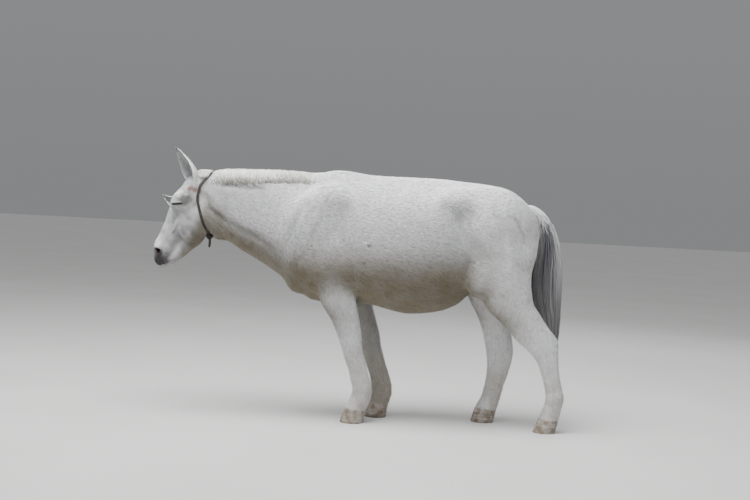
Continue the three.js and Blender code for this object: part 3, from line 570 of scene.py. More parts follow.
def facing_out(points, faces):
    """The faces, turned over if they face into their body."""
    a, b, c = (points[faces[:, k]] for k in range(3))
    inward = np.einsum("ij,ij->i", a, np.cross(b, c)).sum() < 0
    return faces[:, ::-1] if inward else faces


def put_object(name, data):
    """An object in the scene with a mesh, a lamp or a camera."""
    thing = bpy.data.objects.new(name, data)
    bpy.context.scene.collection.objects.link(thing)
    return thing


def put_mesh(name, points, faces, material, nodes=(), tint=None, patch=None, shading=None):
    """A mesh object in metres from points in millimetres, riding on the body."""
    mesh = bpy.data.meshes.new(name)
    mesh.vertices.add(len(points))
    mesh.vertices.foreach_set("co", (np.asarray(points, float) * 0.001).ravel())
    mesh.loops.add(faces.size)
    mesh.loops.foreach_set("vertex_index", faces.ravel().astype(np.int32))
    mesh.polygons.add(len(faces))
    mesh.polygons.foreach_set("loop_start", np.arange(0, faces.size, faces.shape[1], dtype=np.int32))
    mesh.polygons.foreach_set("use_smooth", np.ones(len(faces), bool))
    mesh.materials.append(material)
    if tint is not None:
        layer = mesh.attributes.new("tint", "FLOAT_COLOR", "POINT")
        shade = np.concatenate([tint, np.ones((len(tint), 1))], 1)
        layer.data.foreach_set("color", shade.astype(np.float32).ravel())
    if patch is not None:
        layer = mesh.uv_layers.new(name="OFBake")
        layer.data.foreach_set("uv", patch.astype(np.float32).ravel())
    mesh.update(calc_edges=True)
    if shading is not None:
        mesh.normals_split_custom_set_from_vertices(shading.astype(np.float32))
    piece = put_object(name, mesh)
    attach(piece, "root")
    if nodes:
        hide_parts(*nodes)


def seat(origin, way, form, reach, steps=70):
    """How far along each way from inside a form its wall lies."""
    low = np.zeros(len(origin))
    high = np.full(len(origin), float(reach))
    found = np.zeros(len(origin), bool)
    for step in np.linspace(0, reach, steps)[1:]:
        outside = form(origin + way * step) > 0
        new = outside & ~found
        high[new] = step
        found |= outside
        low[~found] = step
    for _ in range(14):
        middle = (low + high) / 2
        outside = form(origin + way * middle[:, None]) > 0
        high = np.where(outside, middle, high)
        low = np.where(outside, low, middle)
    return (low + high) / 2


def unit(v):
    return v / np.maximum(np.linalg.norm(v, axis=-1, keepdims=True), 1e-9)


def vectors(*parts):
    """Places or ways from their parts, any of which may be one number for all."""
    return np.stack(np.broadcast_arrays(*parts), -1)


def full_turn(count):
    """Angles evenly round a circle."""
    return np.arange(count) / count * 2 * np.pi


def square_to(along, out):
    """The ways across and out of a line, square to it."""
    across = unit(np.cross(along, out))
    return across, np.cross(across, along)


def loop_way(line):
    """The way along a closed line at each of its points."""
    return unit(np.roll(line, -1, 0) - np.roll(line, 1, 0))


def small_patches(centre, places, size, faces):
    """A small patch round each centre on the unwrap, by corners of faces."""
    spread = np.stack([np.cos(places), np.sin(places)], -1) * size / 2
    return (centre[:, None] + spread[None]).reshape(-1, 2)[faces.ravel()]


LOCK_CORNERS = 3


def lock_mesh(lines, outs, half, thick):
    """Tapered locks: lines by lock and ring, their outward ways, half widths and half depths."""
    count, rings, _ = lines.shape
    across, normal = square_to(unit(np.gradient(lines, axis=1)), outs)
    turn = full_turn(LOCK_CORNERS) + np.pi / 2
    shape = np.cos(turn)[:, None] * across[:, :, None] * half[..., None, None]
    shape = shape + np.sin(turn)[:, None] * normal[:, :, None] * thick[..., None, None]
    body = (lines[:, :-1, None] + shape[:, :-1]).reshape(count, -1, 3)
    points = np.concatenate([body, lines[:, -1:]], 1)
    j = np.arange(LOCK_CORNERS)
    last = (rings - 2) * LOCK_CORNERS
    tip = vectors(last + j, last + np.roll(j, -1), last + LOCK_CORNERS)
    walls = np.stack(halves_of(ring_faces(rings - 1, LOCK_CORNERS)), 1).reshape(-1, 3)
    faces = np.concatenate([walls, tip, [(0, 2, 1)]])
    faces = faces[None] + (np.arange(count) * points.shape[1])[:, None, None]
    return points.reshape(-1, 3), faces.reshape(-1, 3)


# Smooth noise
class Lattice:
    """Smooth noise from 0 to 1 in space, the same on every run."""

    size = 24

    def __init__(self, seed):
        self.values = np.random.default_rng(seed).random(3 * [self.size])

    def at(self, p, scale):
        q = p / scale
        i = np.floor(q).astype(int)
        f = q - i
        f = f * f * (3 - 2 * f)
        total = np.zeros(len(p))
        for corner in range(8):
            step = np.array([corner & 1, corner >> 1 & 1, corner >> 2 & 1])
            weight = np.prod(np.where(step, f, 1 - f), axis=1)
            j = (i + step) % self.size
            total += weight * self.values[j[:, 0], j[:, 1], j[:, 2]]
        return total


NOISE = Lattice(3)
SWIRL = Lattice(11)
# Sizes of mottles, flecks and face patches, of the swirls of the coat and the clumps of the mane
MOTTLE, FLECK, FACE_PATCH, EAR_MOTTLE = 46.0, 13.0, 26.0, 18.0
HAIR_SWIRL, MANE_CLUMP = 85.0, 22.0


# Materials
def new_material(name, roughness, specular):
    """A material, its node tree and the inputs of its shader."""
    material = bpy.data.materials.new(name)
    material.use_nodes = True
    inputs = material.node_tree.nodes["Principled BSDF"].inputs
    inputs["Roughness"].default_value = roughness
    inputs["Specular IOR Level"].default_value = specular
    return material, material.node_tree, inputs


def add_noise(tree, scale, detail=3.0, stretch=(1, 1, 1)):
    place = tree.nodes.new("ShaderNodeTexCoord")
    turn = tree.nodes.new("ShaderNodeMapping")
    turn.inputs["Scale"].default_value = stretch
    noise = tree.nodes.new("ShaderNodeTexNoise")
    noise.inputs["Scale"].default_value = scale
    noise.inputs["Detail"].default_value = detail
    tree.links.new(place.outputs["Object"], turn.inputs["Vector"])
    tree.links.new(turn.outputs["Vector"], noise.inputs["Vector"])
    return noise.outputs["Fac"]


def add_ramp(tree, fac, stops):
    ramp = tree.nodes.new("ShaderNodeValToRGB")
    while len(ramp.color_ramp.elements) < len(stops):
        ramp.color_ramp.elements.new(0.5)
    for element, (place, colour) in zip(ramp.color_ramp.elements, stops):
        element.position = place
        element.color = (*colour, 1)
    tree.links.new(fac, ramp.inputs["Fac"])
    return ramp.outputs["Color"]


def add_bump(tree, inputs, height, distance):
    bump = tree.nodes.new("ShaderNodeBump")
    bump.inputs["Distance"].default_value = distance
    bump.inputs["Strength"].default_value = 1.0
    tree.links.new(height, bump.inputs["Height"])
    tree.links.new(bump.outputs["Normal"], inputs["Normal"])


def multiply(tree, a, b):
    mix = tree.nodes.new("ShaderNodeMix")
    mix.data_type = "RGBA"
    mix.blend_type = "MULTIPLY"
    mix.inputs["Factor"].default_value = 1.0
    tree.links.new(a, mix.inputs["A"])
    tree.links.new(b, mix.inputs["B"])
    return mix.outputs["Result"]


def tinted_material(name, roughness, grain, spread, bump, specular, sheen=0.0):
    """Colour from the mesh's own tint, broken up by fine noise, with a fine grain."""
    material, tree, inputs = new_material(name, roughness, specular)
    tint = tree.nodes.new("ShaderNodeAttribute")
    tint.attribute_name = "tint"
    fleck = add_ramp(tree, add_noise(tree, grain), [(0.35, 3 * [1 - spread]), (0.62, 3 * [1 + spread])])
    tree.links.new(multiply(tree, tint.outputs["Color"], fleck), inputs["Base Color"])
    if sheen:
        inputs["Sheen Weight"].default_value = sheen
        inputs["Sheen Roughness"].default_value = 0.6
    add_bump(tree, inputs, add_noise(tree, grain * 3), bump)
    return material


def ramped_material(name, roughness, specular, noise, stops, dirt=None, bump=None):
    """Colour from a ramp over noise, with dirt and bumps from noise of their own."""
    material, tree, inputs = new_material(name, roughness, specular)
    colour = add_ramp(tree, add_noise(tree, *noise), stops)
    if dirt:
        colour = multiply(tree, colour, add_ramp(tree, add_noise(tree, *dirt[0]), dirt[1]))
    tree.links.new(colour, inputs["Base Color"])
    if bump:
        add_bump(tree, inputs, add_noise(tree, *bump[0]), bump[1])
    return material


SKIN = tinted_material("skin", 0.78, 260, 0.12, 0.0012, 0.25)
COAT = tinted_material("coat", 0.82, 420, 0.14, 0.0006, 0.2, 0.15)
LONG_HAIR = tinted_material("long_hair", 0.6, 300, 0.12, 0.0005, 0.3)
HORN = ramped_material(
    "horn", 0.5, 0.4, (9, 4, (1, 1, 14)),
    [(0.25, (0.17, 0.145, 0.12)), (0.5, (0.3, 0.27, 0.235)), (0.75, (0.42, 0.395, 0.36))],
    dirt=((38, 6), [(0.38, (0.55, 0.46, 0.37)), (0.6, (1, 1, 1))]),
    bump=((30, 5, (1, 1, 9)), 0.0015),
)
LEATHER = ramped_material(
    "strap_leather", 0.62, 0.35, (55, 6),
    [(0.3, (0.016, 0.012, 0.01)), (0.55, (0.035, 0.026, 0.022)), (0.78, (0.085, 0.066, 0.055))],
    bump=((900, 4), 0.0008),
)
EYE_DARK = ramped_material(
    "eye", 0.06, 0.6, (60, 3),
    [(0.3, (0.006, 0.004, 0.003)), (0.7, (0.03, 0.017, 0.01))],
)
eye_inputs = EYE_DARK.node_tree.nodes["Principled BSDF"].inputs
eye_inputs["Coat Weight"].default_value = 1.0
eye_inputs["Coat Roughness"].default_value = 0.03
FLOOR = ramped_material(
    "floor", 0.9, 0.15, (1.2, 2),
    [(0.3, (0.5, 0.497, 0.49)), (0.7, (0.53, 0.527, 0.52))],
)


# Skin: the grid it is read off, and how long its edges may be
SKIN_BOX = [(-1045, -270, -25), (1070, 270, 1255)]
GRID_PITCH = 13
REFINE_ROUNDS = 6
BODY_EDGE, LEG_EDGE, HEAD_EDGE = 19.5, 10.0, 5.4
LID_EDGE, SLIT_EDGE, NOSTRIL_EDGE, LIP_EDGE = 2.4, 1.3, 1.9, 2.0
# How far the skin reaches into the hooves below the coronet
SKIN_TUCK = 10


def skin_form(p):
    return flesh(p) + coat_depth(p)


def to_eye(p):
    """Places along and above the slit between the lids, in the side plane."""
    return turned(p[:, 0] - EYE_AT[0], p[:, 2] - EYE_AT[2], SLIT["tilt"])


def to_nostril(p):
    """Places across and along the nostril, in the side plane."""
    s, t = in_head(p)
    return turned(s - NOSTRIL["at"][0], t - NOSTRIL["at"][1], NOSTRIL["tilt"])


def nostril_share(p):
    """Distance from the middle of the bent nostril, 1 at its edge."""
    a, b = to_nostril(p)
    wide, tall = NOSTRIL["half"]
    return np.hypot((a - NOSTRIL["bend"] * (b + 4) ** 2) / wide, b / tall)


def to_line(p, q, points):
    """Distance in a plane from a bent line, and the share of the way along it."""
    points = np.array(points, float)
    lengths = np.linalg.norm(np.diff(points, axis=0), axis=1)
    total = lengths.sum()
    best = np.full(len(p), 1e9)
    share = np.zeros(len(p))
    done = 0.0
    for a, b, length in zip(points[:-1], points[1:], lengths):
        way = (b - a) / length
        along = np.clip((p - a[0]) * way[0] + (q - a[1]) * way[1], 0, length)
        away = np.hypot(p - a[0] - along * way[0], q - a[1] - along * way[1])
        nearer = away < best
        share = np.where(nearer, (done + along) / total, share)
        best = np.minimum(best, away)
        done += length
    return best, share


def along_line(p, name, line, soft, strength, part):
    """A strength along a line in the side plane, fading beside it and over a part of it at its ends."""
    away, share = to_line(p[:, 0], p[:, 2], line)
    ends = smooth_step(0, part, share) * smooth_step(1, 1 - part, share)
    if name == LEFT_FOLD:
        ends = ends * (p[:, 1] < 0)
    return strength * np.exp(-(away / soft) ** 2) * ends


def to_mouth(p):
    """Distance from the line between the lips, and the share of the way along it."""
    s, t = in_head(p)
    return to_line(s, t, [MOUTH["corner"], MOUTH["front"]])


def wanted_edge(p):
    """How long the skin's edges may be at a place."""
    size = BODY_EDGE - (BODY_EDGE - LEG_EDGE) * leg_share(p)
    size = size - (size - HEAD_EDGE) * head_share(p)
    a, b = to_eye(p)
    lids = smooth_step(44, 30, np.hypot(a, b)) * (np.abs(p[:, 1]) > 55)
    size = size - (size - LID_EDGE) * lids
    slit = smooth_step(12, 7, np.abs(b)) * smooth_step(34, 28, np.abs(a)) * lids
    size = size - (size - SLIT_EDGE) * slit
    a, b = to_nostril(p)
    hole = smooth_step(28, 20, np.hypot(a, b)) * (np.abs(p[:, 1]) > 20)
    size = size - (size - NOSTRIL_EDGE) * hole
    away, _ = to_mouth(p)
    lips = smooth_step(18, 9, away) * (p[:, 0] < LIPS_START)
    return size - (size - LIP_EDGE) * lips


def slit_bow(a, more=0):
    """How far the slit opens along its length, 1 at its middle and 0 at its corners."""
    return np.maximum(1 - (a / (SLIT["half"] + more)) ** 2, 0)


def slit_mask(a, b):
    """1 between the lids, 0 outside them."""
    bow = slit_bow(a)
    up = SLIT["up"] * bow - 0.3
    down = SLIT["down"] * bow ** 0.8 - 0.3
    soft = 0.7
    return smooth_step(up + soft, up - soft, b) * smooth_step(-down - soft, -down + soft, b) * (bow > 0)


def shape_eye(p):
    """Opens the slit on the eyeball and raises the lids and their folds."""
    a, b = to_eye(p)
    side = np.sign(p[:, 1])
    y = np.abs(p[:, 1])
    near = (np.hypot(a, b) < 50) & (y > ORBIT_OUT)
    a, b, side, y, at = a[near], b[near], side[near], y[near], p[near]
    bow = slit_bow(a, 4)
    rise = np.zeros(len(a))
    upper = b - SLIT["up"] * bow
    lower = -b - SLIT["down"] * bow
    rise += LID_RISE[0] * bow ** 0.6 * smooth_step(-0.6, 1.6, upper) * smooth_step(10.5, 4.0, upper)
    rise += LID_RISE[1] * bow ** 0.6 * smooth_step(-0.6, 1.2, lower) * smooth_step(7.5, 2.5, lower)
    for height, reach, drop, soft, depth in LID_FOLDS:
        line = height - drop * (a / reach) ** 2
        fade = smooth_step(reach + 5, reach - 6, np.abs(a))
        rise -= depth * fade * np.exp(-((b - line) / soft) ** 2)
    y = y + rise
    apart = np.hypot(at[:, 0] - EYE_AT[0], at[:, 2] - EYE_AT[2])
    ball = EYE["y"] + np.sqrt(np.maximum(EYE["radius"] ** 2 - apart ** 2, 36))
    deep = np.minimum(ball - EYE_SUNK[1], y - EYE_SUNK[0])
    mask = slit_mask(a, b)
    y = y * (1 - mask) + deep * mask
    p[near, 1] = y * side
    return p


def shape_nostril(p, normal):
    a, b = to_nostril(p)
    near = (np.hypot(a, b) < 46) & (np.abs(p[:, 1]) > 14)
    a = a[near]
    r = nostril_share(p[near])
    hole = smooth_step(1.12, 0.55, r)
    rim = np.exp(-((r - 1.42) / 0.22) ** 2) * (1.9 + 1.5 * smooth_step(0, -12, a))
    fold = 1.8 * np.exp(-((r - 2.15) / 0.2) ** 2) * smooth_step(4, -10, a)
    move = rim - fold - NOSTRIL["depth"] * hole ** 1.3
    p[near] += normal[near] * np.maximum(move, -3)[:, None]
    deep = np.maximum(-3 - move, 0)[:, None]
    p[near] -= vectors(-0.25, 0.92 * np.sign(p[near, 1]), -0.3) * deep
    return p


def shape_mouth(p, normal):
    s, t = in_head(p)
    near = (p[:, 0] < -880) & (s > 380)
    away, share = to_mouth(p[near])
    open_ = smooth_step(0, 0.12, share)
    groove = MOUTH["depth"] * np.exp(-(away / MOUTH["width"]) ** 2) * (0.35 + 0.65 * open_)
    groove += 1.8 * np.exp(-(p[near, 1] / 3.5) ** 2) * smooth_step(420, 440, s[near]) * (t[near] > -22)
    lips = 1.7 * np.exp(-((away - 5.5) / 3.2) ** 2) * open_
    corner = np.hypot(s[near] - MOUTH["corner"][0] + 3, t[near] - MOUTH["corner"][1])
    fold = 1.6 * np.exp(-((corner - 8) / 2.2) ** 2) * (s[near] < MOUTH["corner"][0] + 2)
    p[near] += normal[near] * (lips + fold - groove)[:, None]
    return p


def shape_body(p, normal):
    """Folds and ridges of the body, on its sides only."""
    sides = smooth_step(0.25, 0.6, np.abs(normal[:, 1]))
    folds = dict(CREASES)
    for name, (points, soft, rise) in HEAD_CREASES.items():
        folds[name] = ([from_head(s, t)[[0, 2]] for s, t in points], soft, rise)
    for name, fold in folds.items():
        p += normal * (along_line(p, name, *fold, 0.25) * sides)[:, None]
    leg = which_leg(p)
    end = TENDON["end"]
    for number, (low, high, place) in enumerate(TENDON_GROOVES.values()):
        own = leg == number
        x, z = p[own, 0], p[own, 2]
        rows = leg_forms[number][2]
        front, back = curve(rows, 1)(z), curve(rows, 2)(z)
        away = ((x - front) / (back - front) - place) / TENDON["soft"]
        ends = smooth_step(low - end, low + end, z) * smooth_step(high + end, high - end, z)
        depth = TENDON["depth"] * np.exp(-away ** 2) * ends * sides[own]
        p[own] -= normal[own] * depth[:, None]
    return p


def normals_of(points, tris):
    a, b, c = (points[tris[:, k]] for k in range(3))
    face = np.repeat(np.cross(b - a, c - a), 3, axis=0)
    return unit(np.stack([np.bincount(tris.ravel(), face[:, k], len(points)) for k in range(3)], -1))


# The parts of a triangle with one, two or three edges split, by corners 0 to 2 and middles 3 to 5
SPLITS = {
    1: [(0, 3, 2), (3, 1, 2)],
    2: [(1, 4, 3), (0, 3, 2), (3, 4, 2)],
    3: [(0, 3, 5), (1, 4, 3), (2, 5, 4), (3, 4, 5)],
}


def refine(points, tris, target, form, rounds):
    """Splits edges longer than wanted, with no gaps between neighbours, and seats new points."""
    for _ in range(rounds):
        edges = np.sort(np.stack([tris, np.roll(tris, -1, 1)], -1), -1).reshape(-1, 2)
        keys, index = np.unique(edges, axis=0, return_inverse=True)
        ends = points[keys]
        middle = ends.mean(1)
        split = np.linalg.norm(ends[:, 0] - ends[:, 1], axis=-1) > target(middle)
        number = np.full(len(keys), -1)
        number[split] = np.arange(split.sum()) + len(points)
        points = np.concatenate([points, onto_form(form, middle[split], 2)])
        middles = number[index.reshape(-1, 3)]
        marks = (middles >= 0).sum(1)
        parts = [tris[marks == 0]]
        for turn in range(3):
            corners = np.concatenate([np.roll(tris, -turn, 1), np.roll(middles, -turn, 1)], 1)
            one = corners[(marks == 1) & (corners[:, 3] >= 0)]
            two = corners[(marks == 2) & (corners[:, 5] < 0)]
            parts += [one[:, part] for part in SPLITS[1]]
            parts += [two[:, part] for part in SPLITS[2]]
        three = np.concatenate([tris, middles], 1)[marks == 3]
        parts += [three[:, part] for part in SPLITS[3]]
        tris = np.concatenate(parts)
    return points, tris


def coronet_height(name, x):
    """The height of the slanted edge between skin and hoof."""
    pastern = LEGS[name][1][2]
    front = pastern[1] - CORONET["reach"]
    back = pastern[2] + CORONET["reach"]
    share = (x - front) / (back - front)
    return CORONET["front"] + (CORONET["back"] - CORONET["front"]) * share


def which_leg(p):
    """The number of the nearest leg, in the order of LEGS."""
    return np.abs(legs_at(p)).argmin(0)


def make_skin():
    points, tris = grid_mesh(GRID_PITCH, *SKIN_BOX)
    points = onto_form(skin_form, points)
    points, tris = refine(points, tris, wanted_edge, skin_form, REFINE_ROUNDS)
    middle = points[tris].mean(1)
    leg = which_leg(middle)
    edge = np.array([coronet_height(name, middle[:, 0]) for name in LEGS])
    tris = tris[middle[:, 2] > edge[leg, np.arange(len(leg))] - SKIN_TUCK]
    used, tris = np.unique(tris, return_inverse=True)
    points, tris = points[used], tris.reshape(-1, 3)
    normal = normals_of(points, tris)
    points = shape_body(points, normal)
    points = shape_eye(points)
    points = shape_nostril(points, normal)
    return shape_mouth(points, normal), tris


# Ears
def ear_frame(ear, u):
    """Points on an ear's middle line with its along, opening and side ways."""
    base, bend, tip, facing = (np.array(v, float) for v in EARS[ear])
    u = np.asarray(u, float)[..., None]
    centre = (1 - u) ** 2 * base + 2 * u * (1 - u) * bend + u * u * tip
    along = unit(2 * (1 - u) * (bend - base) + 2 * u * (tip - bend))
    opening = unit(facing - (along * facing).sum(-1, keepdims=True) * along)
    return centre, along, opening, np.cross(along, opening)


ear_radius = curve(EAR_SHELL, 1)
ear_span = curve(EAR_SHELL, 2)
ear_wall = curve(EAR_SHELL, 3)
# How much the ear's skin is smaller than the ear, in radius and in wall
EAR_FUR = (1.5, 2)


def ear_mesh(ear, steps=56, turns=44):
    """A bent leaf rolled about its length, with round edges."""
    u = np.linspace(0, 1, steps)
    centre, _, opening, side = ear_frame(ear, u)
    span = np.radians(ear_span(u)) / 2
    share = np.linspace(-1, 1, turns)
    angles = np.concatenate([share, share[::-1]])
    outer = np.concatenate([np.ones(turns), np.zeros(turns)])
    turn = span[:, None] * angles
    edge = np.clip((1 - np.abs(angles)) * 7, 0, 1) ** 0.5
    radius = ear_radius(u)[:, None] - EAR_FUR[0]
    wall = ear_wall(u)[:, None] - EAR_FUR[1]
    r = radius - wall * 0.5 + wall * 0.5 * (2 * outer - 1) * (0.15 + 0.85 * edge)
    rings = centre[:, None] - np.cos(turn)[..., None] * opening[:, None] * r[..., None]
    points = (rings + np.sin(turn)[..., None] * side[:, None] * r[..., None]).reshape(-1, 3)
    quads = ring_faces(steps, 2 * turns)
    last = (steps - 1) * 2 * turns
    j = np.arange(turns - 1)
    m = 2 * turns - 1 - j
    caps = [vectors(j, m, m - 1, j + 1), vectors(j, j + 1, m - 1, m) + last]
    tris = in_halves(np.concatenate([quads, *caps]))
    return points, facing_out(points, tris)


# Regions of the body, for its unwrap and its coat: trunk, head, four legs and two ears
REGIONS = ["trunk", "head", *LEGS, *EARS]
FIRST_LEG = 2
FIRST_EAR = 6
# Where each region lies on the unwrap: left, bottom, width and height
CHARTS = [
    (0.01, 0.01, 0.62, 0.45),
    (0.66, 0.01, 0.32, 0.33),
    (0.01, 0.50, 0.32, 0.22),
    (0.35, 0.50, 0.32, 0.22),
    (0.01, 0.75, 0.32, 0.22),
    (0.35, 0.75, 0.32, 0.22),
    (0.70, 0.50, 0.13, 0.22),
    (0.85, 0.50, 0.13, 0.22),
]


def region_of(p):
    legs = legs_at(p)
    on_leg = (p[:, 2] < LEG_TOP) & (legs.min(0) < trunk_form(p[:, 0], p[:, 2], p[:, 1]))
    region = np.where(on_leg, FIRST_LEG + legs.argmin(0), 0)
    return np.where(head_share(p) > 0.5, 1, region)


def ear_place(p, ear):
    """Share of an ear's length, turn round it, and its along and opening ways there."""
    u = np.linspace(0, 1, 60)
    centre, along, opening, side = ear_frame(ear, u)
    i = ((p[:, None] - centre[None]) ** 2).sum(-1).argmin(1)
    d = p - centre[i]
    turn = np.arctan2((d * side[i]).sum(-1), -(d * opening[i]).sum(-1))
    return u[i], turn, along[i], opening[i]


# Where the unwrap of trunk, head and legs starts and how long it is, and the middle it turns round
TRUNK_WRAP = (860, 1760, 900)
HEAD_WRAP = (60, 540, 30)
LEG_WRAP = 700


def unwrap(p, region):
    """Places on the unwrap: along each region and round it."""
    along, turn = np.zeros(len(p)), np.zeros(len(p))
    for number, name in enumerate(REGIONS):
        own = region == number
        x, y, z = p[own].T
        if name == "trunk":
            along[own] = (x + TRUNK_WRAP[0]) / TRUNK_WRAP[1]
            turn[own] = np.arctan2(y, z - TRUNK_WRAP[2])
        elif name == "head":
            s, t = to_head(x, z)
            along[own] = (s + HEAD_WRAP[0]) / HEAD_WRAP[1]
            turn[own] = np.arctan2(y, t + HEAD_WRAP[2])
        elif name in LEGS:
            side, rows = LEGS[name]
            middle = (curve(rows, 1)(z) + curve(rows, 2)(z)) / 2
            along[own] = z / LEG_WRAP
            turn[own] = np.arctan2(y * side - curve(rows, 4)(z), middle - x)
        else:
            along[own], turn[own], _, _ = ear_place(p[own], name)
    return along, turn


def on_charts(u, turn, region):
    """Places in the charts of regions."""
    chart = np.array(CHARTS)[region]
    v = turn / (2 * np.pi) + 0.5
    return vectors(chart[:, 0] + u * chart[:, 2], chart[:, 1] + v * chart[:, 3])


def unwrap_faces(points, tris, region):
    """The unwrap at each corner of each face, with no face torn where a region closes."""
    corners = points[tris].reshape(-1, 3)
    own = np.repeat(region, 3)
    u, turn = unwrap(corners, own)
    turn = turn.reshape(-1, 3)
    torn = np.ptp(turn, axis=1) > np.pi
    turn[torn] = np.where(turn[torn] < 0, turn[torn] + 2 * np.pi, turn[torn])
    return on_charts(u, turn.ravel(), own)


# Painted shade along the grooves of the coat: points in the side plane, softness and strength
GROOVES = {
    "throat": ([(-765, 1125), (-754, 1027), (-718, 998), (-650, 950)], 13, 0.32),
    "under the mane": ([(-730, 1146), (-640, 1138), (-551, 1134), (-470, 1142)], 12, 0.5),
    "front of the shoulder": ([(-270, 1110), (-295, 1040), (-335, 930), (-361, 850)], 17, 0.2),
    "back of the shoulder": ([(-70, 1080), (-68, 980), (-60, 880), (-35, 790)], 34, 0.12),
    "flank": ([(452, 1095), (530, 940), (575, 850)], 30, 0.13),
    "beside the tail": ([(690, 1075), (752, 1052), (790, 985), (802, 930)], 7, 0.34),
    "lower edge of the neck": ([(-690, 985), (-600, 930), (-480, 880), (-385, 815)], 20, 0.16),
}


def blend_to(colour, aim, share):
    """Colours changed towards another one by a share at each place."""
    return np.asarray(colour) + (np.array(aim) - colour) * share[..., None]


def dim(colour, share):
    return colour * (1 - share)[:, None]


def leg_nearness(p):
    """1 on the legs up to the elbow and stifle, 0 on the trunk, changing softly."""
    ahead = trunk_form(p[:, 0], p[:, 2], p[:, 1]) - legs_at(p).min(0)
    return smooth_step(-25, 50, ahead) * smooth_step(800, 650, p[:, 2])


def spot_share(p, spot, rough):
    """Distance from the middle of a spot in the side plane, 1 at its edge, roughened by noise."""
    x, z, wide, tall = spot
    return np.hypot((p[:, 0] - x) / wide, (p[:, 2] - z) / tall) + 0.5 * (rough - 0.5)


def paint_underside_shade_and_stain(colour, p, n, head, mottle):
    """Painted shade below and on the sides, partly also the coat's own olive stain: belly, lower neck
    and gullet darker, and the sides darker than the top.
    """
    x, _, z = p.T
    legs = leg_nearness(p)
    # Surfaces facing down are darker, as painted shade
    under = smooth_step(0.1, -0.7, n[:, 2]) * (1 - 0.8 * leg_share(p)) * (1 - 0.6 * head)
    low = smooth_step(935, 715, z) * smooth_step(-420, -300, x) * smooth_step(720, 520, x) * (1 - legs)
    rise = (z - trunk_low(x)) / (trunk_high(x) - trunk_low(x))
    neck = smooth_step(0.46, 0.12, rise) * smooth_step(-280, -400, x) * (1 - head)
    gullet = smooth_step(-630, -715, x) * smooth_step(1070, 985, z) * (1 - head)
    # The sides are darker than the top, as painted shade
    side = smooth_step(0.7, 0.25, n[:, 2]) * smooth_step(620, 400, x) * (1 - 0.5 * legs) * (1 - head)
    dull = np.maximum(0.8 * low, np.maximum(0.62 * neck, 0.75 * gullet))
    dull = dull + (1 - dull) * 0.85 * under
    return blend_to(dim(colour, 0.34 * side), BELLY_STAIN_AND_SHADE, np.clip(dull + 0.22 * (mottle - 0.5), 0, 1))


def tint_head(colour, p, head, mottle, fine):
    """Painted shade under the throat and about the brow; cheek, mottles, dark muzzle and nostrils, lids
    and lips.
    """
    x, y, z = p.T
    s, t = to_head(x, z)
    # Painted shade under the jaw and throat
    throat = smooth_step(-60, -122, t) * smooth_step(20, 60, s) * head
    colour = blend_to(colour, BELLY_STAIN_AND_SHADE, 0.9 * throat)
    cheek = smooth_step(110, 190, s) * smooth_step(5, -60, t) * smooth_step(350, 260, s) * head
    colour = dim(colour, 0.2 * cheek)
    # Painted shade about the brow
    brow_shade_share = smooth_step(1.25, 0.35, spot_share(p, BROW_SHADE_SPOT, fine))
    colour = blend_to(colour, BROW_SHADE, 0.85 * brow_shade_share * head)
    patches = smooth_step(0.42, 0.75, NOISE.at(p + 900, FACE_PATCH)) * smooth_step(-40, 30, s) * head
    colour = dim(colour, 0.26 * patches)
    down = s - 0.55 * np.maximum(t, 0) + 30 * (mottle - 0.5) + 22 * (fine - 0.5)
    dark = smooth_step(346, 446, down) * head
    chin = smooth_step(-38, -60, t) * smooth_step(340, 380, s) * head
    colour = blend_to(colour, MUZZLE, np.clip(dark * (1 - 0.55 * chin), 0, 0.94))
    r = nostril_share(p)
    colour = blend_to(colour, MUZZLE, 0.8 * smooth_step(2.3, 1.2, r) * head)
    colour = blend_to(colour, RAW, smooth_step(1.15, 0.8, r) * head)
    a, b = to_eye(p)
    near = smooth_step(ORBIT_OUT - 8, ORBIT_OUT + 4, np.abs(y)) * head
    colour = blend_to(colour, LID, 0.34 * smooth_step(26, 8, np.hypot(a / 1.5, b)) * near)
    margin = smooth_step(5.2, 2.2, np.abs(b) - 3.2 * slit_bow(a, 3)) * smooth_step(31, 26, np.abs(a))
    colour = blend_to(colour, LID, 0.95 * margin * near)
    away, _ = to_mouth(p)
    return blend_to(colour, RAW, 0.85 * smooth_step(4.5, 1.5, away) * (x < LIPS_START))


def tint_marks_and_inner_leg_shade(colour, p, n, region, mottle, fine):
    """Stains of the legs, painted shade on their inner sides, the scars and the reddish mark."""
    x, y, z = p.T
    leg = smooth_step(420, 150, z) * (region >= FIRST_LEG)
    grime = smooth_step(0.42, 0.72, 0.6 * mottle + 0.4 * fine + 0.28 * leg - 0.06)
    colour = blend_to(colour, STAIN, 0.6 * leg * grime)
    # Painted shade on the inner sides of the legs, most on the forelegs
    inner_leg_shade = smooth_step(0.1, 0.7, -n[:, 1] * np.sign(y)) * smooth_step(760, 640, z)
    colour = blend_to(colour, BELLY_STAIN_AND_SHADE, np.where(x < 400, 0.55, 0.1) * inner_leg_shade)
    for scar_x, scar_z, size in SCARS:
        spot = np.hypot(x - scar_x, (z - scar_z) * 1.3) + 9 * (fine - 0.5)
        colour = blend_to(colour, BELLY_STAIN_AND_SHADE, 0.75 * smooth_step(size, size * 0.45, spot) * (y < 0))
    rust = smooth_step(1, 0.5, spot_share(p, RUST_SPOT, fine))
    return blend_to(colour, RUST, 0.8 * rust * (np.abs(y) > 20))


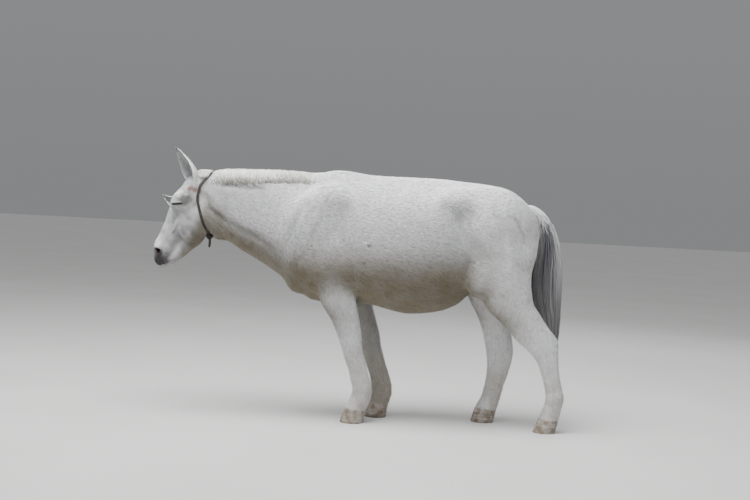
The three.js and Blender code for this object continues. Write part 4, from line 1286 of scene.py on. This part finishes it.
def coat_colour_and_shade(p, n, region):
    """The colour of skin and coat at each place, with painted shade below, on the sides, under the
    throat, about the brow, on the inner legs and along the grooves.
    """
    _, t = in_head(p)
    head = head_share(p)
    mottle = NOISE.at(p, MOTTLE)
    fine = NOISE.at(p + 500, FLECK)
    colour = blend_to(PALE, FACE, head * (1 - smooth_step(5, 55, t)))
    colour = paint_underside_shade_and_stain(colour, p, n, head, mottle)
    colour = tint_head(colour, p, head, mottle, fine)
    colour = tint_marks_and_inner_leg_shade(colour, p, n, region, mottle, fine)
    # Painted shade along the grooves
    for name, groove in GROOVES.items():
        groove = along_line(p, name, *groove, 0.15) * smooth_step(0.2, 0.6, np.abs(n[:, 1]))
        colour = dim(colour, groove * (1 - head))
    return colour * (0.93 + 0.14 * mottle)[:, None] * (0.9 + 0.2 * fine)[:, None]


def ear_tint(p, ear):
    u, turn, _, _ = ear_place(p, ear)
    span = np.radians(ear_span(u)) / 2
    rim = smooth_step(0.74, 0.95, np.abs(turn) / span)
    colour = np.array(EAR_GREY) * (0.85 + 0.3 * NOISE.at(p, EAR_MOTTLE))[:, None]
    front = turn * np.sign(p[:, 1]) < 0
    colour = blend_to(colour, PALE, 0.85 * rim * np.where(front, 1.0, 0.25))
    colour = blend_to(colour, MUZZLE, 0.2 * smooth_step(0.9, 1.0, u))
    return blend_to(colour, PALE, 0.5 * smooth_step(0.3, 0.05, u))


def dress_body():
    """Puts the skin and returns each body's points, triangles, normals and regions."""
    points, tris = make_skin()
    normal = normals_of(points, tris)
    bodies = [(points, tris, normal, region_of(points[tris].mean(1)))]
    tints = [SKIN_SHADE * coat_colour_and_shade(points, normal, region_of(points))]
    for number, ear in enumerate(EARS, FIRST_EAR):
        points, tris = ear_mesh(ear)
        bodies.append((points, tris, normals_of(points, tris), np.full(len(tris), number)))
        tints.append(EAR_SHADE * ear_tint(points, ear))
    starts = np.cumsum([0] + [len(body[0]) for body in bodies])
    points = np.concatenate([body[0] for body in bodies])
    tris = np.concatenate([body[1] + start for body, start in zip(bodies, starts)])
    patch = unwrap_faces(points, tris, np.concatenate([body[3] for body in bodies]))
    nodes = ["torso", "neck", "head", *LEGS, *EARS]
    put_mesh("skin", points, tris, SKIN, nodes, np.concatenate(tints), patch)
    return bodies


# Coat
def lie_of(p, n, region):
    """The way the hair lies at each place."""
    x, y, z = p.T
    side = np.sign(y)
    s, t = to_head(x, z)
    way = vectors(1, 0.15 * side, -0.4)
    neck = smooth_step(-150, -420, x)
    way += neck[:, None] * np.array([-0.15, 0, -0.2])
    chest = smooth_step(-200, -330, x) * smooth_step(-0.1, -0.7, n[:, 0]) * smooth_step(980, 860, z)
    way += chest[:, None] * np.array([-0.6, 0, -0.9])
    rump = smooth_step(700, 830, x)
    way += rump[:, None] * np.array([-0.6, 0, -0.8])
    down = np.maximum(leg_share(p), smooth_step(0, 60, 700 - z) * (region >= FIRST_LEG))
    heel = smooth_step(0.1, 0.7, n[:, 0]) * smooth_step(330, 120, z)
    way = way * (1 - down)[:, None] + vectors(0.1 + 0.35 * heel, 0, -1) * down[:, None]
    ahead = np.array([-math.sin(HEAD[2]), 0, -math.cos(HEAD[2])])
    behind = np.array([math.cos(HEAD[2]), 0, -math.sin(HEAD[2])])
    face = ahead + behind * (smooth_step(10, -70, t) * 0.55)[:, None]
    crown = (smooth_step(95, 60, s) * smooth_step(-10, 20, t))[:, None]
    face = face * (1 - 1.8 * crown) + np.array([0, 0.6, 0]) * crown * side[:, None]
    a, b = to_eye(p)
    r = np.hypot(a, b)
    radial = (a / r)[:, None] * np.array([1, 0, 0.1]) + (b / r)[:, None] * np.array([-0.1, 0, 1])
    ring = (smooth_step(48, 14, r) * (np.abs(y) > 50))[:, None]
    face = face * (1 - 0.85 * ring) + radial * 0.85 * ring
    head = head_share(p)[:, None]
    swirl = vectors(*(SWIRL.at(p + 100 * k, HAIR_SWIRL) - 0.5 for k in range(3)))
    return way * (1 - head) + face * head + swirl * 0.5


def hair_length(p, n, region):
    x, _, z = p.T
    s, t = to_head(x, z)
    head = head_share(p)
    body = 21 + 8 * smooth_step(-0.3, -0.9, n[:, 2])
    body = body + 4 * smooth_step(-0.2, -0.8, n[:, 0]) * (x < -200)
    behind = 11 * smooth_step(0.15, 0.75, n[:, 0]) * smooth_step(330, 200, z)
    leg = 15 + 4 * smooth_step(350, 600, z) + behind * smooth_step(70, 110, z)
    length = np.where(region >= FIRST_LEG, leg, body)
    beard = 6 * smooth_step(-90, -140, t) * smooth_step(330, 250, s)
    face = 6.5 - 3.4 * smooth_step(340, 400, s) + beard + 4 * smooth_step(70, 20, s)
    a, b = to_eye(p)
    face = face - 3.2 * smooth_step(30, 14, np.hypot(a, b)) * (np.abs(p[:, 1]) > 55)
    return length * (1 - head) + np.maximum(face, 2.2) * head


def bare(p):
    """Where no tufts grow: lid edges, nostrils and lips."""
    a, b = to_eye(p)
    lids = (np.abs(p[:, 1]) > ORBIT_OUT) & (np.abs(a) < 29) & (np.abs(b) < 6.5)
    away, _ = to_mouth(p)
    return lids | ((p[:, 0] < LIPS_START) & ((nostril_share(p) < 1.35) | (away < 4.5)))


# How far apart tufts stand in each region, in millimetres, and how many a piece holds
TUFT_PITCH = np.array([4.7, 3.1] + 4 * [4.3] + 2 * [3.3])
PIECE_TUFTS = 27500
# Tufts are this wide for their length, within limits
TUFT_WIDTH = 0.16
TUFT_WIDTHS = (0.9, 3.4)
# How far each point of a tuft is shaded as turned across and along the hair, from the skin below
TUFT_LEAN = np.array([(-0.5, -0.2), (0.5, -0.2), (0, -0.2), (-0.5, 0.1), (0.5, 0.1), (0, 0.35)])
TUFT_FACES = np.array([(2, 0, 3), (2, 3, 5), (2, 5, 4), (2, 4, 1), (0, 1, 4), (0, 4, 3), (3, 4, 5)])
TUFT_SHADE = np.array([0.9, 0.9, 0.92, 1.0, 1.0, 1.04])
# Share of grey tufts and how dark they are
GREY_SHARE = 0.09
GREY_SHADE = 0.72
# Turn of each point of a tuft in its patch of the unwrap, and the patch's size
TUFT_CORNERS = np.array([0, 1.3, 2.6, 3.5, 4.4, 5.3])
TUFT_PATCH = 0.003


def grow_tufts(points, tris, normal, region, random):
    """Roots, ways out and regions of tufts all over one part of the skin."""
    a, b, c = (points[tris[:, k]] for k in range(3))
    area = np.linalg.norm(np.cross(b - a, c - a), axis=1) / 2
    wanted = area / TUFT_PITCH[region] ** 2
    count = np.floor(wanted + random.random(len(tris))).astype(int)
    pick = np.repeat(np.arange(len(tris)), count)
    u, v = random.random(len(pick)), random.random(len(pick))
    over = u + v > 1
    u, v = np.where(over, 1 - u, u), np.where(over, 1 - v, v)
    w = vectors(1 - u - v, u, v)[..., None]
    root = (points[tris[pick]] * w).sum(1)
    n = unit((normal[tris[pick]] * w).sum(1))
    return root, n, region[pick]


def tuft_mesh(root, n, way, length, depth, random):
    """Small tapered tufts, each with a keel from its root to its tip."""
    count = len(root)
    width = np.clip(TUFT_WIDTH * length, *TUFT_WIDTHS)[:, None]
    way = unit(way - (way * n).sum(-1, keepdims=True) * n)
    turn = random.normal(0, 0.2, count)[:, None]
    way = way * np.cos(turn) + np.cross(n, way) * np.sin(turn)
    across = np.cross(n, way)
    length = (length * random.uniform(0.75, 1.25, count))[:, None]
    depth = (depth * random.uniform(0.75, 1.15, count))[:, None]
    curl = random.normal(0, 0.1, count)[:, None] * length
    sag = np.array([0, 0, -1.0]) * 0.12 * length * np.maximum(-n[:, 2:3], 0)
    middle = root + way * length * 0.5 + n * depth * 0.5 + across * curl * 0.3
    tip = root + way * length + n * depth + across * curl + sag
    half = across * width * 0.5
    base = root - n
    keel = root + n * width * 0.55
    points = np.stack([base - half, base + half, keel, middle - half, middle + half, tip], 1)
    faces = TUFT_FACES[None] + 6 * np.arange(count)[:, None, None]
    lean = across[:, None] * TUFT_LEAN[:, :1] + way[:, None] * TUFT_LEAN[:, 1:]
    shading = unit(n[:, None] + lean)
    return points.reshape(-1, 3), faces.reshape(-1, 3), shading.reshape(-1, 3)


def put_coat(name, slot, root, n, region, way, length, depth, tint, random):
    points, faces, shading = tuft_mesh(root, n, way, length, depth, random)
    bright = random.normal(1, 0.06, len(root))
    grey = random.random(len(root)) < GREY_SHARE
    bright = np.where(grey, bright * GREY_SHADE, bright)
    shade = tint[:, None] * bright[:, None, None] * TUFT_SHADE[None, :, None]
    centre = on_charts(*unwrap(root, region), region)
    patch = small_patches(centre, TUFT_CORNERS, TUFT_PATCH, faces)
    put_mesh(name, points, faces, COAT, (), shade.reshape(-1, 3), patch, shading)


def dress_coat(bodies, random):
    root, n, own = grow_tufts(*bodies[0], random)
    kept = np.flatnonzero(~bare(root))
    kept = kept[np.lexsort((root[kept, 0], np.minimum(own[kept], FIRST_LEG)))]
    root, n, own = root[kept], n[kept], own[kept]
    way, length, depth = lie_of(root, n, own), hair_length(root, n, own), coat_depth(root)
    tufts = (root, n, own, way, length, depth, coat_colour_and_shade(root, n, own))
    kinds = {"trunk": own == 0, "head": own == 1, "legs": own >= FIRST_LEG}
    for kind, mask in kinds.items():
        slot = "leg_coat" if kind == "legs" else "coat"
        parts = np.array_split(np.flatnonzero(mask), math.ceil(mask.sum() / PIECE_TUFTS))
        for number, part in enumerate(parts, 1):
            put_coat(f"coat_{kind}_{number}", slot, *(values[part] for values in tufts), random)
    for ear, body in zip(EARS, bodies[1:]):
        root, n, own = grow_tufts(*body, random)
        u, _, along, opening = ear_place(root, ear)
        inside = (n * opening).sum(-1) > 0.1
        length = np.where(inside, 11, 7) * (1 - 0.45 * u)
        depth = np.where(inside, 2.2, 1.5)
        tint = ear_tint(root, ear)
        put_coat(f"coat_{ear}", "ear_coat", root, n, own, along, length, depth, tint, random)


# Hooves: the height from which the search for the slanted coronet starts
HOOF_START = 70.0


def dress_hoof(name):
    form, side, rows = leg_forms[list(LEGS).index(name)]
    front, back, middle = curve(rows, 1), curve(rows, 2), curve(rows, 4)
    count, levels = 56, 26
    turn = full_turn(count)
    way = vectors(-np.cos(turn), np.sin(turn), 0)
    rings = []
    for u in np.linspace(0, 1, levels):
        z = np.full(count, HOOF_START * u)
        for _ in range(3):
            centre = vectors((front(z) + back(z)) / 2, side * middle(z), z)
            wall = seat(centre, way, lambda p: form(p[:, 2], p[:, 0], p[:, 1] * side), 120)
            place = centre + way * wall[:, None]
            z = u * coronet_height(name, place[:, 0])
        rim = 1.6 * smooth_step(0.86, 1.0, u) + 2.5 * (1 - smooth_step(0, 0.04, u))
        rings.append(place - way * rim)
    points = np.concatenate([*rings, [rings[-1].mean(0), rings[0].mean(0)]])
    j = np.arange(count)
    k = np.roll(j, -1)
    last = (levels - 1) * count
    caps = [vectors(last + j, last + k, len(points) - 2), vectors(k, j, len(points) - 1)]
    tris = np.concatenate([in_halves(ring_faces(levels, count)), *caps])
    hoof = name.replace("leg", "hoof")
    put_mesh(hoof + "_horn", points, tris, HORN, [hoof])


# Eyes
def dress_eye(name, side):
    bands, count = 24, 40
    a = np.linspace(0, np.pi, bands)[:, None]
    b = full_turn(count)[None]
    ball = vectors(np.sin(a) * np.cos(b), np.cos(a), np.sin(a) * np.sin(b)).reshape(-1, 3)
    points = (ball * EYE["radius"] + EYE_AT) * (1, side, 1)
    put_mesh(name + "_ball", points, ring_faces(bands, count), EYE_DARK, [name])


# Strap
def dress_strap():
    steps = 200
    turn = full_turn(steps)
    place = curve(STRAP_ROUTE, 1)

    def at(r):
        z = STRAP_MIDDLE + np.cos(turn) * r
        return vectors(place(z), np.sin(turn) * r, z)

    r = np.full(steps, STRAP_INSIDE)
    for _ in range(STRAP_REACH):
        r = r + np.where(flesh(at(r)) < 0, 1.0, 0.0)
    for _ in range(6):
        r = (np.roll(r, 1) + np.roll(r, -1) + 2 * r) / 4
    line = at(r)
    across, out = square_to(loop_way(line), vectors(0, np.sin(turn), np.cos(turn)))
    w, h = STRAP_WIDTH / 2, STRAP_THICK
    section = [(-w, -2), (-w, h - 1), (-w + 1, h), (w - 1, h), (w, h - 1), (w, -2)]
    points = np.stack([line + across * a + out * b for a, b in section], 1).reshape(-1, 3)
    quads = ring_faces(steps, len(section), looped=True)
    put_mesh("strap_band", points, quads, LEATHER, ["neck_strap"])


# How many locks each part has, and how many rings each lock
LOCKS = {"mane": (3600, 7), "forelock": (620, 8), "long tail": (1700, 13), "short tail": (1500, 5)}
LASHES, WHISKERS = 46, 150
HAIR_PATCH = 0.006


# Mane and forelock
CREST_DEPTH = 150
mane_low = curve(MANE_EDGE, 1)


def on_crest(x, turn, off):
    """Places on the neck by x, turn from the crest to the left, and height off the skin."""
    centre = vectors(x, 0, trunk_high(x) - CREST_DEPTH)
    way = vectors(0, -np.sin(turn), np.cos(turn))
    return centre + way * (seat(centre, way, skin_form, 300) + off)[:, None], way


def put_locks(name, lines, outs, half, thick, shades, place, nodes=()):
    """Locks as one piece, coloured ring by ring, each a small patch at its root's place."""
    points, faces = lock_mesh(lines, outs, half, thick)
    shades = np.broadcast_to(shades, lines.shape)
    body = np.repeat(shades[:, :-1], LOCK_CORNERS, axis=1)
    tint = np.concatenate([body, shades[:, -1:]], 1).reshape(-1, 3)
    place = np.broadcast_to(place, (len(lines), 2))
    patch = small_patches(place, np.arange(len(points) // len(lines)) * 2.4, HAIR_PATCH, faces)
    put_mesh(name, points, faces, LONG_HAIR, nodes, tint, patch)


def lock_shape(u):
    """How thick a lock is along its length."""
    return (0.55 + 1.6 * u * (1 - u)) * (1 - u ** 4)


def dress_mane(random):
    count, rings = LOCKS["mane"]
    x0 = MANE[0] - 30 + (MANE[1] + 70 - MANE[0]) * random.random(count) ** 0.95
    table = np.arange(MANE[0] - 40, MANE[1] + 90, 8.0)
    turns = np.linspace(0, 1.5, 60)
    lows = []
    for x in table:
        places, _ = on_crest(np.full(60, x), turns, 0)
        lows.append(turns[np.argmax(places[:, 2] < mane_low(x))])
    u = np.linspace(0, 1, rings)[None]
    start = random.uniform(-0.24, 0.5, count)
    ahead = smooth_step(MANE[0] - 34, MANE[0] + 30, x0)
    low = np.interp(x0, table, lows) * (0.35 + 0.65 * ahead)
    low = low * random.uniform(0.5, 1.25, count)
    reach = np.maximum(low, start + 0.1 + 0.14 * random.random(count))
    clump = SWIRL.at(vectors(x0, 0, 0), MANE_CLUMP) - 0.5
    sweep = 10 + 22 * clump + random.normal(0, 9, count)
    x = x0[:, None] + sweep[:, None] * u * u
    turn = start[:, None] + (reach - start)[:, None] * u
    fade = smooth_step(MANE[1] + 40, MANE[1] - 110, x0) * (0.4 + 0.6 * ahead)
    lift = (random.uniform(3, 14, count) * (0.35 + 0.65 * fade))[:, None]
    off = lift * np.minimum(2.6 * u, 1) * (1 - 0.5 * u * u) - 3 * np.maximum(1 - 5 * u, 0)
    lines, outs = (v.reshape(count, rings, 3) for v in on_crest(x.ravel(), turn.ravel(), off.ravel()))
    # Lower on the neck the locks turn darker, partly their own olive and partly painted shade, and near
    # the roots darker still as painted shade
    fall = smooth_step(0.3, 0.85, (turn + random.normal(0, 0.07, count)[:, None]) / 0.72)
    bright = (random.normal(1, 0.09, count) + 0.12 * clump)[:, None, None]
    shades = blend_to(MANE_TOP, MANE_TIP, fall) * bright
    shades = shades * (0.86 + 0.14 * np.minimum(u * 4, 1))[..., None]
    place = vectors(0.70 + 0.28 * (x0 - MANE[0]) / 540, 0.76 + 0.05 * start)
    half, thick = 1.9 * lock_shape(u), 1.2 * lock_shape(u)
    put_locks("mane_locks", lines, outs, half, thick, shades, place, ["mane"])


def dress_forelock(random):
    count, rings = LOCKS["forelock"]
    u = np.linspace(0, 1, rings)[None]
    fan = np.radians(random.uniform(-62, 78, count))[:, None]
    height = random.uniform(10, 32, count)[:, None]
    length = random.uniform(34, 68, count)[:, None]
    first, last, wide, crown = FORELOCK
    x0 = random.uniform(first, last, count)[:, None]
    y0 = random.uniform(-wide, wide, count)[:, None]
    rise = height * (1 - (1.7 * u - 0.6) ** 2) - 14 * u
    out = length * u + 6 * np.sin(3 * u + fan * 4)
    lines = vectors(x0 - np.cos(fan) * out, y0 - np.sin(fan) * out, crown + rise)
    outs = vectors(-np.cos(fan) * u, -np.sin(fan) * u, 1 - 0.5 * u)
    shades = np.array(MANE_TOP) * random.normal(0.98, 0.09, count)[:, None, None]
    # Darker near the roots, as painted shade
    shades = shades * (0.8 + 0.24 * np.minimum(u * 2, 1))[..., None]
    place = vectors(0.72 + 0.1 * (y0[:, 0] + wide) / 36, 0.86 + 0.05 * (x0[:, 0] - first) / 36)
    half, thick = 2.6 * lock_shape(u), 1.5 * lock_shape(u)
    put_locks("forelock_locks", lines, outs, half, thick, shades, place, ["forelock"])


# Tail
def spline(points, u):
    """A Catmull-Rom curve with even parameters through points, and its tangent."""
    points = np.asarray(points, float)
    ext = np.concatenate([2 * points[:1] - points[1:2], points, 2 * points[-1:] - points[-2:-1]])
    place = np.clip(u, 0, 1) * (len(points) - 1)
    i = np.minimum(place.astype(int), len(points) - 2)
    f = (place - i)[..., None]
    a, b, c, d = (ext[i + k] for k in range(4))
    at = b + 0.5 * f * (c - a + f * (2 * a - 5 * b + 4 * c - d + f * (3 * (b - c) + d - a)))
    slope = 0.5 * (c - a + f * (2 * (2 * a - 5 * b + 4 * c - d) + f * 3 * (3 * (b - c) + d - a)))
    return at, unit(slope)


tail_rows = [(u, *row) for u, row in zip(np.linspace(0, 1, len(TAIL)), TAIL)]
tail_thick = curve(tail_rows, 3)
tail_wide = curve(tail_rows, 4)
SIDEWAYS = np.array([0, 1.0, 0])


def in_tail(u, out, turn):
    """Places in the tail: share of its length, share of its half size, turn round it from behind."""
    at, along = spline([(x, 0, z) for x, z, _, _ in TAIL], u)
    at = at - np.cross(SIDEWAYS, along) * (np.cos(turn) * tail_thick(u) * out)[..., None]
    return at + SIDEWAYS * (np.sin(turn) * tail_wide(u) * out)[..., None]


def dress_dock():
    """The dock under the tail's hair."""
    count, levels = 28, 30
    u = np.linspace(0, DOCK_END, levels)[:, None]
    turn = full_turn(count)[None]
    out = 0.9 - 0.6 * smooth_step(0.1, DOCK_END, u)
    dock = in_tail(u + 0 * turn, out, turn).reshape(-1, 3)
    quads = ring_faces(levels, count)
    tint = np.tile(np.array(PALE) * 0.8, (len(dock), 1))
    place = vectors(0.75 + 0.1 * u, 0.9 + 0.01 * turn).reshape(-1, 2)
    put_mesh("tail_dock", dock, quads, SKIN, (), tint, place[quads.ravel()])


def put_tail_hair(name, share, out, turn, half, thick, shades, nodes=()):
    """Locks by share of the tail's length, share of its half size and turn round it."""
    lines = in_tail(share, out, turn)
    outs = unit(lines - in_tail(share, 0, turn) + 1e-3)
    place = vectors(0.75 + 0.2 * share[:, 0], 0.9 + 0.01 * turn[:, 0])
    put_locks(name, lines, outs, half, thick, shades, place, nodes)


def tail_shades(u, turn, strand):
    """Pale behind and near the root, dark grey on the sides, greyer in front, with light streaks."""
    behind = (1 + np.cos(turn)) / 2
    pale = smooth_step(0.62, 0.95, behind + 0.12 * strand) * smooth_step(0.74, 0.45, u)
    pale = np.maximum(pale, smooth_step(0.3, 0.16, u + 0.16 * (1 - behind)))
    pale = pale * (1 - 0.4 * smooth_step(0.2, 0.5, u))
    ahead = smooth_step(0.22, 0.04, behind) * smooth_step(0.7, 0.4, u)
    light = smooth_step(0.4, 0.9, u) * 0.8 + 0.4 * np.maximum(strand, 0) + 0.85 * ahead
    return blend_to(blend_to(TAIL_DARK, TAIL_GREY, light), TAIL_PALE, pale)


def dress_long_tail(random):
    """The long hair that starts on the dock."""
    count, rings = LOCKS["long tail"]
    u = np.linspace(0, 1, rings)[None]
    root = (0.04 + 0.36 * random.random(count))[:, None]
    tip = (0.58 + 0.42 * random.random(count) ** 0.7)[:, None]
    turn0 = random.uniform(0, 2 * np.pi, count)[:, None]
    clump = np.round(turn0 * 7 / np.pi) * np.pi / 7
    turn = turn0 + (clump - turn0) * 0.55 * u + random.uniform(-0.25, 0.25, count)[:, None] * u
    share = root + (tip - root) * u
    reach = (0.25 + 0.75 * random.random(count) ** 0.6)[:, None]
    out = 0.32 + (reach - 0.32) * np.minimum(3.0 * u, 1)
    out = np.minimum(out + 0.03 * np.sin(9 * u + 5 * turn0), 1)
    half = random.uniform(2.2, 4.4, count)[:, None]
    strand = random.normal(0, 0.55, count)[:, None] + 0 * u
    shades = tail_shades(share, turn, strand) * random.normal(1, 0.1, count)[:, None, None]
    size = lock_shape(u)
    put_tail_hair("tail_locks", share, out, turn, half * size, 0.55 * half * size, shades, ["tail"])


def dress_short_tail(random):
    """The short pale hair over the dock."""
    count, rings = LOCKS["short tail"]
    u = np.linspace(0, 1, rings)[None]
    root = (0.3 * random.random(count) ** 1.2)[:, None]
    turn = random.normal(0, 1.1, count)[:, None]
    turn = turn + random.normal(0, 0.08, count)[:, None] * u
    share = root + (0.075 + 0.05 * root) * u
    out = 0.78 - 0.5 * smooth_step(0.1, DOCK_END, root) + (0.2 + 0.35 * root) * np.minimum(2 * u, 1)
    shades = np.array(TAIL_PALE) * random.normal(1.05, 0.08, count)[:, None, None]
    size = lock_shape(u)
    put_tail_hair("tail_short_hair", share, out, turn, 2.2 * size, 1.2 * size, shades)


# Lashes and whiskers
def dress_lashes(random):
    tilt = math.radians(SLIT["tilt"])
    c, n = math.cos(tilt), math.sin(tilt)
    u = np.linspace(0, 1, 5)
    lines = []
    for side in (-1, 1):
        for k in range(LASHES):
            a = -21 + 40 * (k + random.random()) / LASHES
            bow = slit_bow(a, 3)
            b = SLIT["up"] * bow - 0.4
            x, z = EYE_AT[0] + a * c - b * n, EYE_AT[2] + a * n + b * c
            y = EYE["y"] + math.sqrt(max(EYE["radius"] ** 2 - a * a * 0.9 - b * b, 60)) + 1.0
            length = 11 * (0.6 + 0.4 * bow) * random.uniform(0.8, 1.15)
            fan = 0.35 * a / 25 + random.normal(0, 0.12)
            fall = z - length * 0.62 * u + length * 0.4 * u * u
            lines.append(vectors(x + fan * length * u, side * (y + length * 0.85 * u), fall))
    size = 0.45 * ((1 - u ** 2)[None] + 0.05)
    put_locks("lashes", np.array(lines), (0.2, 0, 1.0), size, size, LID, (0.9, 0.3))


def dress_whiskers(points, normal, random):
    """A few long stiff hairs on lips and chin."""
    s, t = to_head(points[:, 0], points[:, 2])
    on_lips = (s > 385) & (t < 10) & (points[:, 0] < -880)
    pick = random.choice(np.flatnonzero(on_lips), WHISKERS, replace=False)
    root, n = points[pick], normal[pick]
    u = np.linspace(0, 1, 6)
    length = random.uniform(12, 30, len(pick))[:, None, None]
    aim = unit(n + random.normal(0, 0.25, n.shape) + np.array([-0.1, 0, -0.35]))
    v = u[None, :, None]
    lines = root[:, None] + aim[:, None] * length * v + np.array([0, 0, -1.0]) * length * 0.25 * v * v
    size = 0.32 * (1.05 - u)[None]
    put_locks("whiskers", lines, (0.3, 0.9, 0.2), size, size, WHISKER, (0.95, 0.1))


# Knot of the strap
def knot_loop(at):
    """The band knotted on itself, as a closed tube round a three-lobed line."""
    steps, corners, thick = 120, 10, 5.4
    q = np.linspace(0, 2 * np.pi, steps, endpoint=False)
    loop = vectors(
        (np.sin(q) + 2 * np.sin(2 * q)) / 3 * (KNOT_RADII[0] - thick),
        -np.sin(3 * q) * (KNOT_RADII[1] - thick) * 0.95,
        (np.cos(q) - 2 * np.cos(2 * q)) / 3 * (KNOT_RADII[2] - thick),
    )
    along = loop_way(loop)
    across, out = square_to(along, unit(loop + along * 0.01))
    ring = full_turn(corners)
    tube = loop[:, None] + across[:, None] * (np.cos(ring) * thick)[None, :, None]
    tube = tube + out[:, None] * (np.sin(ring) * thick * 0.6)[None, :, None]
    return tube.reshape(-1, 3) + at, ring_faces(steps, corners, looped=True)


def knot_end(at):
    """The end hanging from the knot: a flat band, a little twisted, closed at its tip."""
    levels = 22
    u = np.linspace(0, 1, levels)
    centre = vectors(
        at[0] + (KNOT_END[0] - at[0]) * u + 1.5 * np.sin(4 * u),
        at[1] - 2 + 1.5 * np.sin(5 * u),
        at[2] + (KNOT_END[1] - at[2]) * u,
    )
    half = 5.8 * (1 - 0.75 * np.maximum(u - 0.9, 0) / 0.1)
    twist = 0.25 * np.sin(3 * u)
    c, s = np.cos(twist), np.sin(twist)
    corners = [(-1, -1.6), (-1, 1.6), (-0.8, 2.2), (0.8, 2.2)]
    section = corners + [(-a, -b) for a, b in corners]
    lines = [centre + vectors(a * half * c - b * s, a * half * s + b * c, 0) for a, b in section]
    caps = np.array([(0, 1, 2, 7), (7, 2, 3, 6), (6, 3, 4, 5)]) + (levels - 1) * len(section)
    quads = np.concatenate([ring_faces(levels, len(section)), caps])
    return np.stack(lines, 1).reshape(-1, 3), quads


def dress_knot():
    """The knot lies on the neck below the throat, with one end hanging."""
    start = np.array([[curve(STRAP_ROUTE, 1)(KNOT_START[0]), 0, KNOT_START[1]]])
    way = unit(np.array([KNOT_WAY]))
    at = (start + way * (seat(start, way, flesh, 200) + KNOT_RADII[1] - 2)[:, None])[0]
    points, quads = knot_loop(at)
    more, strips = knot_end(at)
    quads = np.concatenate([quads, strips + len(points)])
    points = np.concatenate([points, more])
    put_mesh("strap_knot_band", points, quads, LEATHER, ["strap_knot"])


bodies = dress_body()
dress_coat(bodies, np.random.default_rng(29))
dress_whiskers(bodies[0][0], bodies[0][2], np.random.default_rng(7))
dress_lashes(np.random.default_rng(8))
for leg_name in LEGS:
    dress_hoof(leg_name)
dress_eye("eye_left", -1)
dress_eye("eye_right", 1)
dress_strap()
dress_mane(np.random.default_rng(17))
dress_forelock(np.random.default_rng(5))
dress_dock()
tail_random = np.random.default_rng(41)
dress_long_tail(tail_random)
dress_short_tail(tail_random)
dress_knot()

# Floor, light and camera
FLOOR_HALF = 30
# Lamps: place, aim, size, power and colour
LAMPS = {
    "overhead": ((-0.6, -1.2, 5.0), (0, 0, 0.8), 4.0, 620, (1, 1, 1)),
    "front": ((-4.0, -5.0, 2.6), (-0.2, 0, 0.8), 3.0, 40, (0.95, 0.97, 1)),
    "back": ((2.5, 4.5, 3.5), (0, 0, 0.9), 3.5, 70, (0.95, 0.97, 1)),
}
SKY_STRENGTH = 0.8
CAMERA_AT = (0.0643, -6.993, 1.1578)
CAMERA_ROLL = math.radians(3)
CAMERA_PITCH = math.radians(2.5)
LENS = 67.2
SENSOR = 36


def add_floor():
    mesh = bpy.data.meshes.new("floor")
    r = FLOOR_HALF
    mesh.from_pydata([(-r, -r, 0), (r, -r, 0), (r, r, 0), (-r, r, 0)], [], [(0, 1, 2, 3)])
    mesh.materials.append(FLOOR)
    put_object("floor", mesh)


def add_lamp(name, place, aim, size, power, colour):
    data = bpy.data.lights.new(name, "AREA")
    data.shape = "DISK"
    data.size = size
    data.energy = power
    data.color = colour
    lamp = put_object(name, data)
    lamp.location = place
    lamp.rotation_euler = (Vector(aim) - Vector(place)).to_track_quat("-Z", "Y").to_euler()


def add_sky():
    """A soft sky, brightest overhead and pale at eye level."""
    world = bpy.data.worlds.new("studio")
    world.use_nodes = True
    tree = world.node_tree
    place = tree.nodes.new("ShaderNodeTexCoord")
    parts = tree.nodes.new("ShaderNodeSeparateXYZ")
    tree.links.new(place.outputs["Generated"], parts.inputs["Vector"])
    tone = add_ramp(tree, parts.outputs["Z"], [
        (0.0, (0.3, 0.305, 0.31)),
        (0.3, (0.36, 0.37, 0.385)),
        (0.9, (1.0, 1.0, 1.0)),
    ])
    tree.links.new(tone, tree.nodes["Background"].inputs["Color"])
    tree.nodes["Background"].inputs["Strength"].default_value = SKY_STRENGTH
    bpy.context.scene.world = world


def add_camera():
    data = bpy.data.cameras.new("camera")
    data.sensor_width = SENSOR
    data.lens = LENS
    right = Vector((math.cos(CAMERA_ROLL), 0, math.sin(CAMERA_ROLL)))
    level_up = Vector((-math.sin(CAMERA_ROLL), 0, math.cos(CAMERA_ROLL)))
    c, s = math.cos(CAMERA_PITCH), math.sin(CAMERA_PITCH)
    ahead = Vector((0, 1, 0)) * c - level_up * s
    up = level_up * c + Vector((0, 1, 0)) * s
    camera = put_object("camera", data)
    turn = Matrix((right, up, -ahead)).transposed().to_4x4()
    camera.matrix_world = Matrix.Translation(CAMERA_AT) @ turn
    bpy.context.scene.camera = camera


add_floor()
for lamp_name, values in LAMPS.items():
    add_lamp(lamp_name, *values)
add_sky()
add_camera()
